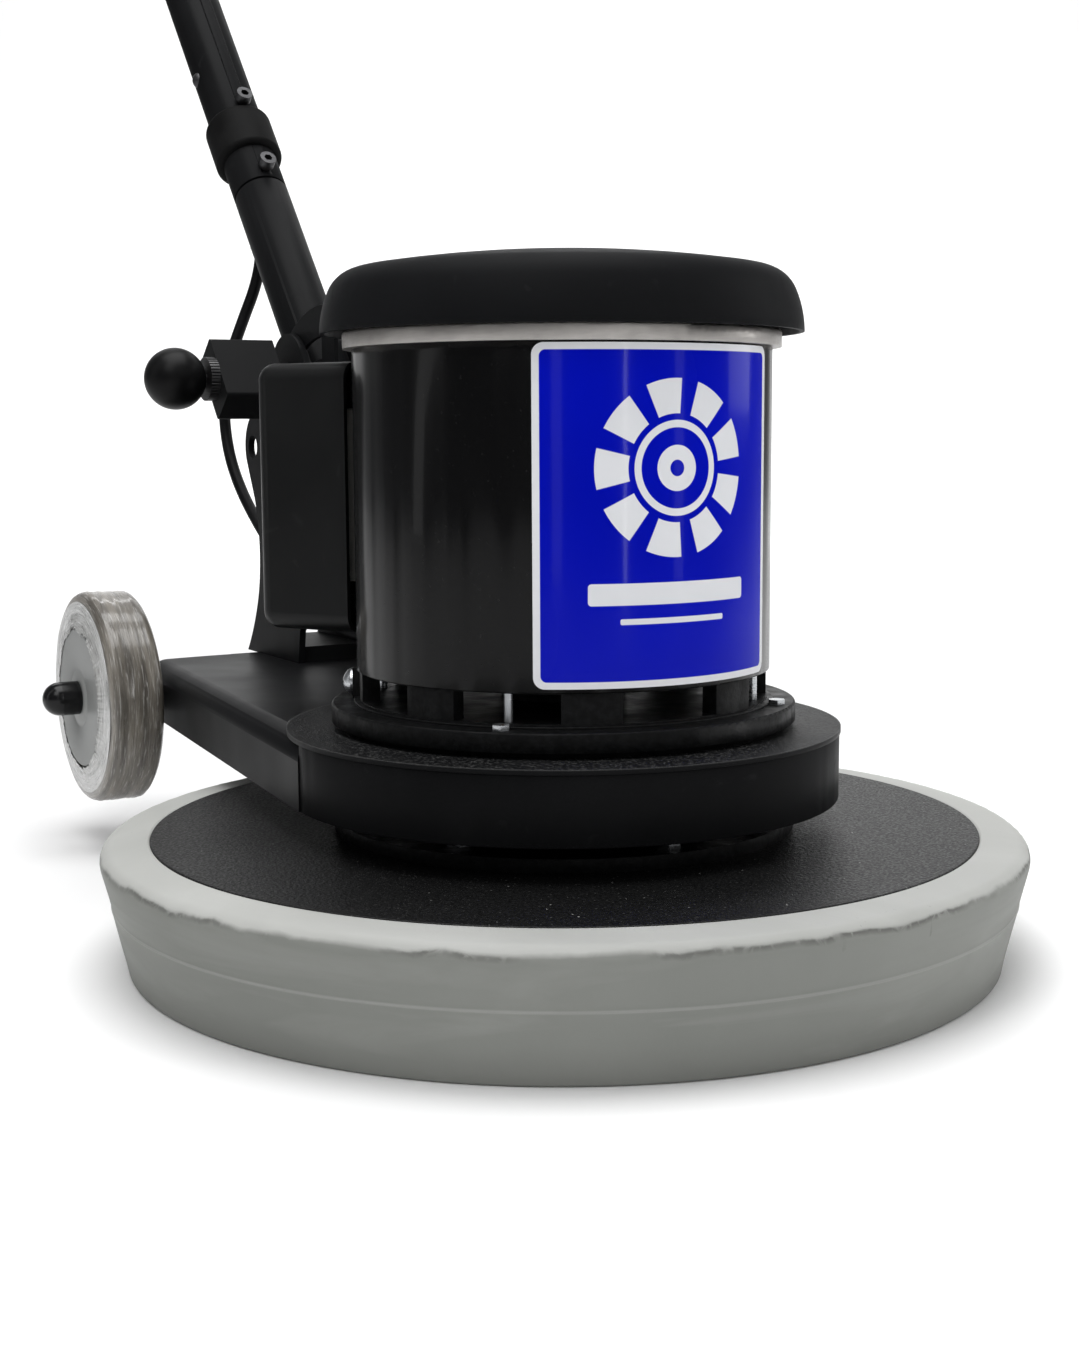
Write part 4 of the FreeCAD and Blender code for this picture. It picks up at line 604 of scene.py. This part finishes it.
def wheel_surface(name, light, dark, streak, roughness):
    """Stretched clear film over rubber: bright streaks that run round the wheel."""
    s = Surface(name, roughness, coat=0.6, coat_roughness=0.15)
    axes = s.axes()
    y = s.maths("SUBTRACT", axes["Y"], WHEEL_BACK * MM)
    z = s.maths("SUBTRACT", axes["Z"], WHEEL_HEIGHT * MM)
    radius = s.length(y, z)
    across = s.both(s.maths("ADD", axes["X"], radius), 1 / MM)
    turned_y = s.both(s.maths("DIVIDE", y, radius), 7.0)
    turned_z = s.both(s.maths("DIVIDE", z, radius), 7.0)
    around = s.add("CombineXYZ", X=across, Y=turned_y, Z=turned_z).outputs["Vector"]
    fibres = s.noise(0.8, 8, around, 0.5)
    broad = s.noise(0.2, 4, around)
    cloud = s.noise(30, 5)
    body = s.mix(s.range(broad, 0.35, 0.65), dark, light)
    body = s.mix(s.range(cloud, 0.55, 0.75, 0.0, 0.35), body, tuple(part * 0.55 for part in dark))
    s.colour(s.mix(s.range(fibres, 0.56, 0.70, 0.0, 0.75), body, streak))
    s.rough(s.range(fibres, 0.3, 0.7, roughness - 0.1, roughness + 0.15))
    s.bump((broad, 1.2, 0.5), (fibres, 0.8, 0.6))
    return s.material


def tyre_wrap(side, sign, place, material):
    """Tyre with its packing film, slightly creased on the tread."""
    def creased(radius, angle, height):
        around = Vector((math.cos(angle) * 1.6, math.sin(angle) * 1.6, sign * 9.0 + height * 0.42))
        fold = noise.noise(around) + 0.5 * noise.noise(around * 2.3)
        share = min(1.0, max(0.0, (radius - 55) / 5))
        lift = noise.noise(around * 1.4 + Vector((7, 0, 0)))
        return radius + share * 0.55 * fold, height + share * 0.4 * lift

    inner_face = [(55, -19.6), (66, -19.8), (79.6, -19.8, 7)]
    tread = [(79.6, height) for height in range(-12, 13, 2)]
    outer_face = [(79.6, 19.8, 7), (72, 19.9), (66, 19.9), (60, 19.8), (55, 19.4)]
    mesh = lathe_mesh(f"tyre_wrap_{side}", inner_face + tread + outer_face, 288, place, creased)
    finish_piece(f"tyre_wrap_{side}", mesh, f"wheel_{side}", "tyre_grey", f"tyre_{side}", sharp=60,
                 material=material)


def hub_disc(side, place):
    """Hub: a barrel on the axle, a web, a rim and the stepped outer disc."""
    barrel = [(10.05, -22), (20, -22, 1), (20, 8), (48, 8), (48, -18), (54.9, -18)]
    disc = [(54.9, 17.5), (52.2, 17.5), (52.2, 22.9, 1.2), (24, 22.9), (23, 22.3), (20.5, 22.3),
            (19.5, 22.9), (10.05, 22.9)]
    mesh = lathe_mesh(f"hub_disc_{side}", barrel + disc, 160, place)
    finish_piece(f"hub_disc_{side}", mesh, f"wheel_{side}", "hub_grey", f"wheel_hub_{side}")


def over_face(radius):
    """Height at which a film lies over the hub disc's edge and down to the tyre's face."""
    return 23.1 - 2.9 * min(1.0, max(0.0, (radius - 52.6) / 6.5))


def film_edge(side, sign, place, material):
    """The film's torn edge on the wheel's outer face, drawn back towards the bottom."""
    bm = bmesh.new()
    count = 540
    rows = []
    for index in range(count):
        angle = 2 * math.pi * index / count
        cosine, sine = math.cos(angle), math.sin(angle)
        tear = noise.noise(Vector((cosine * 3, sine * 3, sign * 4.0)))
        spike = abs(noise.noise(Vector((cosine * 42, sine * 42, sign * 2.0))))
        drawn_back = 3.5 * max(0.0, sign * cosine - 0.2)
        inner = 52.5 + 5.5 * tear - 12 * spike * max(0.0, tear + 0.5) + drawn_back
        lift = 0.8 * noise.noise(Vector((cosine * 30, sine * 30, 5)))
        radii = (inner, inner + 2.0, inner + (66 - inner) * 0.45, 66, 72.5)
        heights = (over_face(radii[0]) + 0.3 + lift, over_face(radii[1]) + 0.2 + lift * 0.6,
                   over_face(radii[2]) + 0.15 + lift * 0.3, 20.35, 20.25)
        top = list(zip(radii, heights))
        under = [(radius, height - FILM_THICKNESS) for radius, height in reversed(top)]
        rows.append([bm.verts.new(place @ Vector((radius * cosine, radius * sine, height)))
                     for radius, height in top + under])
    skin(bm, rows)
    finish_piece(f"film_edge_{side}", mesh_of(bm, f"film_edge_{side}"), f"wheel_{side}", "tyre_grey",
                 sharp=60, material=material)


def wheels():
    wrapped = wheel_surface("tyre_wrapped", (0.21, 0.19, 0.16), (0.085, 0.076, 0.064),
                            (0.42, 0.41, 0.385), 0.34)
    torn = wheel_surface("film_torn", (0.50, 0.50, 0.49), (0.28, 0.28, 0.27), (0.85, 0.85, 0.85), 0.3)
    for side, sign in (("left", -1), ("right", 1)):
        centre = Matrix.Translation((sign * WHEEL_OUT, WHEEL_BACK, WHEEL_HEIGHT))
        place = centre @ Matrix.Rotation(sign * math.pi / 2, 4, "Y")
        tyre_wrap(side, sign, place, wrapped)
        hub_disc(side, place)
        film_edge(side, sign, place, torn)


def rod_threads():
    """Rolled thread on the four studs where they cross the vents, and the sill below the vents."""
    foot, top, pitch, root, crest = 153, 175.8, 0.8, 2.3, 2.62
    corners = [(0, foot)]
    for turn in range(28):
        corners += [(root, foot + 0.2 + turn * pitch), (crest, foot + 0.6 + turn * pitch)]
    corners.append((0, top))
    bm = bmesh.new()
    for angle in (45, 135, 225, 315):
        at = Matrix.Rotation(math.radians(angle), 4, "Z") @ Matrix.Translation((116.5, 0, 0))
        lathe(bm, corners, 24, at)
    finish_piece("rod_threads", mesh_of(bm, "rod_threads"), "chassis", "zinc", sharp=80)
    sill = [(122.5, 153.0), (127.2, 153.0), (127.2, 154.6, 0.7), (123.9, 154.9, 0.5), (122.5, 154.9)]
    finish_piece("vent_sill", lathe_mesh("vent_sill", sill, 240), "chassis", "cast_black")


def lead_reliefs():
    """Tapered sleeves where the lead leaves the motor's gland and the bush in the handle tube."""
    def relief(at, axis):
        corners = [(5.0, 0), (8.0, 0, 0.6), (7.6, 3, 0.5), (7.0, 3.4)]
        for rib in range(4):
            low = 4.2 + rib * 3.4
            size = 6.9 - rib * 0.35
            corners += [(size, low, 0.3), (size, low + 2.2, 0.3)]
            corners += [(size - 0.7, low + 2.5), (size - 0.7, low + 3.2)]
        corners += [(5.5, 20), (4.9, 20)]
        return lathe_mesh("relief", corners, 48, along(axis, at))
    finish_piece("motor_relief", relief((0, 142.6, 195), (0, 1, 0)), "chassis", "rubber_black")
    finish_piece("handle_relief", relief((0, 486.3, 476), (0, 0, -1)), "handle", "rubber_black")


def switch_box_details():
    """Sealing strip round the switch box, and its lid screws."""
    outer = [(-75.5, 799.5, 8), (75.5, 799.5, 8), (75.5, 900.5, 8), (-75.5, 900.5, 8)]
    inner = [(-73, 802, 6), (73, 802, 6), (73, 898, 6), (-73, 898, 6)]
    face_on = Matrix(((1, 0, 0, 0), (0, 0, 1, 0), (0, 1, 0, 0), (0, 0, 0, 1)))
    strip = plate((outer, inner), 11, 13, 0.4, ON_HANDLE @ face_on)
    finish_piece("box_seal", strip, "handle", "rubber_black")
    bm = bmesh.new()
    for x in (-64, 64):
        for station in (811, 889):
            corners = [(0, 33.2), (3.6, 33.2), (3.6, 34.7, 0.4), (1.6, 35.0, 0.2), (1.5, 34.1), (0, 34.1)]
            lathe(bm, corners, 32, ON_HANDLE @ along((0, 1, 0), (x, 0, station)))
    finish_piece("box_screws", mesh_of(bm, "box_screws"), "handle", "zinc")


def soften(name, width):
    """Round the sharp edges of a CAD node with modifiers, and leave its mesh as it is."""
    item = nodes[name]
    weld = item.modifiers.new("weld", "WELD")
    weld.merge_threshold = 1e-6
    bevel = item.modifiers.new("edges", "BEVEL")
    bevel.width = width * MM
    bevel.segments = 2
    bevel.limit_method = "ANGLE"
    bevel.angle_limit = math.radians(40)
    bevel.harden_normals = True


bumper()
label()
wheels()
rod_threads()
lead_reliefs()
switch_box_details()
for name, width in {
    "chassis_bolts": 0.4, "drive_bolts": 0.4, "handle_bracket": 0.6, "tilt_sectors": 0.5,
    "plunger_block": 0.6, "chassis_platform": 0.5, "chassis_band": 0.5, "gearbox_housing": 0.8,
    "gearbox_lid": 0.6, "motor_base": 0.6, "end_shield": 0.5, "deck_pan": 0.7, "switch_housing": 0.5,
    "can_gland": 0.4, "handle_glands": 0.4, "pivot_bolt": 0.5, "tube_screws": 0.4, "lower_tube": 0.5,
    "upper_tube": 0.5, "trigger_left": 1.2, "trigger_right": 1.2, "axle": 0.5, "driver_plate": 0.6,
    "hub_flange": 0.5, "diamond_segments": 0.5, "motor_can": 0.5, "dome_cover": 0.4, "ball_knob": 0.4,
}.items():
    soften(name, width)


# ---------------------------------------------------------------- studio


def studio():
    """Pale floor that curves up into a backdrop; the large soft lights and the white surround are made by
    lights().
    """
    bm = bmesh.new()
    rows = []
    radius, back, reach = 3.0, 5.0, 14.0
    profile = [(-reach, 0.0)]
    for degrees in range(0, 91, 5):
        angle = math.radians(degrees)
        profile.append((back + radius * math.sin(angle), radius - radius * math.cos(angle)))
    profile.append((back + radius, reach))
    heading = Matrix.Rotation(math.radians(-30), 3, "Z")
    for y, z in profile:
        rows.append([bm.verts.new(heading @ Vector((x, y, z))) for x in (-reach, reach)])
    for below, above in zip(rows, rows[1:]):
        bm.faces.new((below[0], below[1], above[1], above[0]))
    mesh = bpy.data.meshes.new("studio_floor")
    bm.to_mesh(mesh)
    bm.free()
    mesh.shade_smooth()
    s = Surface("studio_white", 0.8, specular=0.2)
    s.colour(s.mix(s.range(s.noise(2, 2), 0.3, 0.7), (0.90, 0.90, 0.90), (0.93, 0.93, 0.93)))
    mesh.materials.append(s.material)
    floor = bpy.data.objects.new("studio_floor", mesh)
    bpy.context.scene.collection.objects.link(floor)


# Each lamp's name, place, point aimed at, width, height and power, in metres and watts.
LAMPS = (
    ("overhead", (-0.1, 0.1, 2.2), (0, 0.1, 0), 1.8, 1.8, 46),
    ("key", (-1.7, -1.3, 2.5), (0, 0, 0.2), 1.5, 1.5, 24),
    ("window_front", (0.1, -2.3, 1.0), (0, 0, 0.5), 0.08, 2.0, 5),
    ("window_camera", (-1.35, -2.1, 1.0), (0, 0, 0.5), 0.25, 2.0, 2.4),
    ("window_right", (1.3, -2.0, 1.0), (0, 0, 0.5), 0.25, 2.0, 3),
    ("right_panel", (2.3, -0.5, 1.1), (0, 0, 0.3), 0.9, 1.6, 15),
    ("left_strip", (-2.2, 0.9, 1.3), (0, 0, 0.4), 0.35, 3.0, 4.4),
    ("backdrop_low", (1.6, 2.8, 3.0), (2.6, 4.5, 0), 5.0, 1.5, 165),
    ("backdrop_high", (2.0, 3.5, 3.4), (4.0, 7.0, 1.6), 5.0, 1.0, 125),
)


def lights():
    for name, place, target, width, height, power in LAMPS:
        data = bpy.data.lights.new(name, "AREA")
        data.shape = "RECTANGLE"
        data.size = width
        data.size_y = height
        data.energy = power
        lamp = bpy.data.objects.new(name, data)
        lamp.location = place
        lamp.rotation_mode = "QUATERNION"
        lamp.rotation_quaternion = (Vector(target) - Vector(place)).to_track_quat("-Z", "Y")
        bpy.context.scene.collection.objects.link(lamp)
    world = bpy.data.worlds.new("surround")
    world.use_nodes = True
    background = world.node_tree.nodes["Background"]
    background.inputs["Color"].default_value = (0.96, 0.97, 1.0, 1)
    background.inputs["Strength"].default_value = 0.14
    bpy.context.scene.world = world
    bpy.context.scene.view_settings.view_transform = "Standard"


def camera():
    """The camera, from its place and its directions to the right, up and forward."""
    right = Vector((0.871691, -0.490026, -0.005504))
    up = Vector((0.068830, 0.111303, 0.991400))
    forward = Vector((0.485199, 0.864573, -0.130751))
    data = bpy.data.cameras.new("camera")
    data.lens = 50.6
    data.sensor_width = 36
    data.clip_start = 0.05
    data.clip_end = 60
    item = bpy.data.objects.new("camera", data)
    turn = Matrix((right, up, -forward)).transposed().to_4x4()
    item.matrix_world = Matrix.Translation((-0.574039, -0.994264, 0.318208)) @ turn
    bpy.context.scene.collection.objects.link(item)
    bpy.context.scene.camera = item


studio()
lights()
camera()
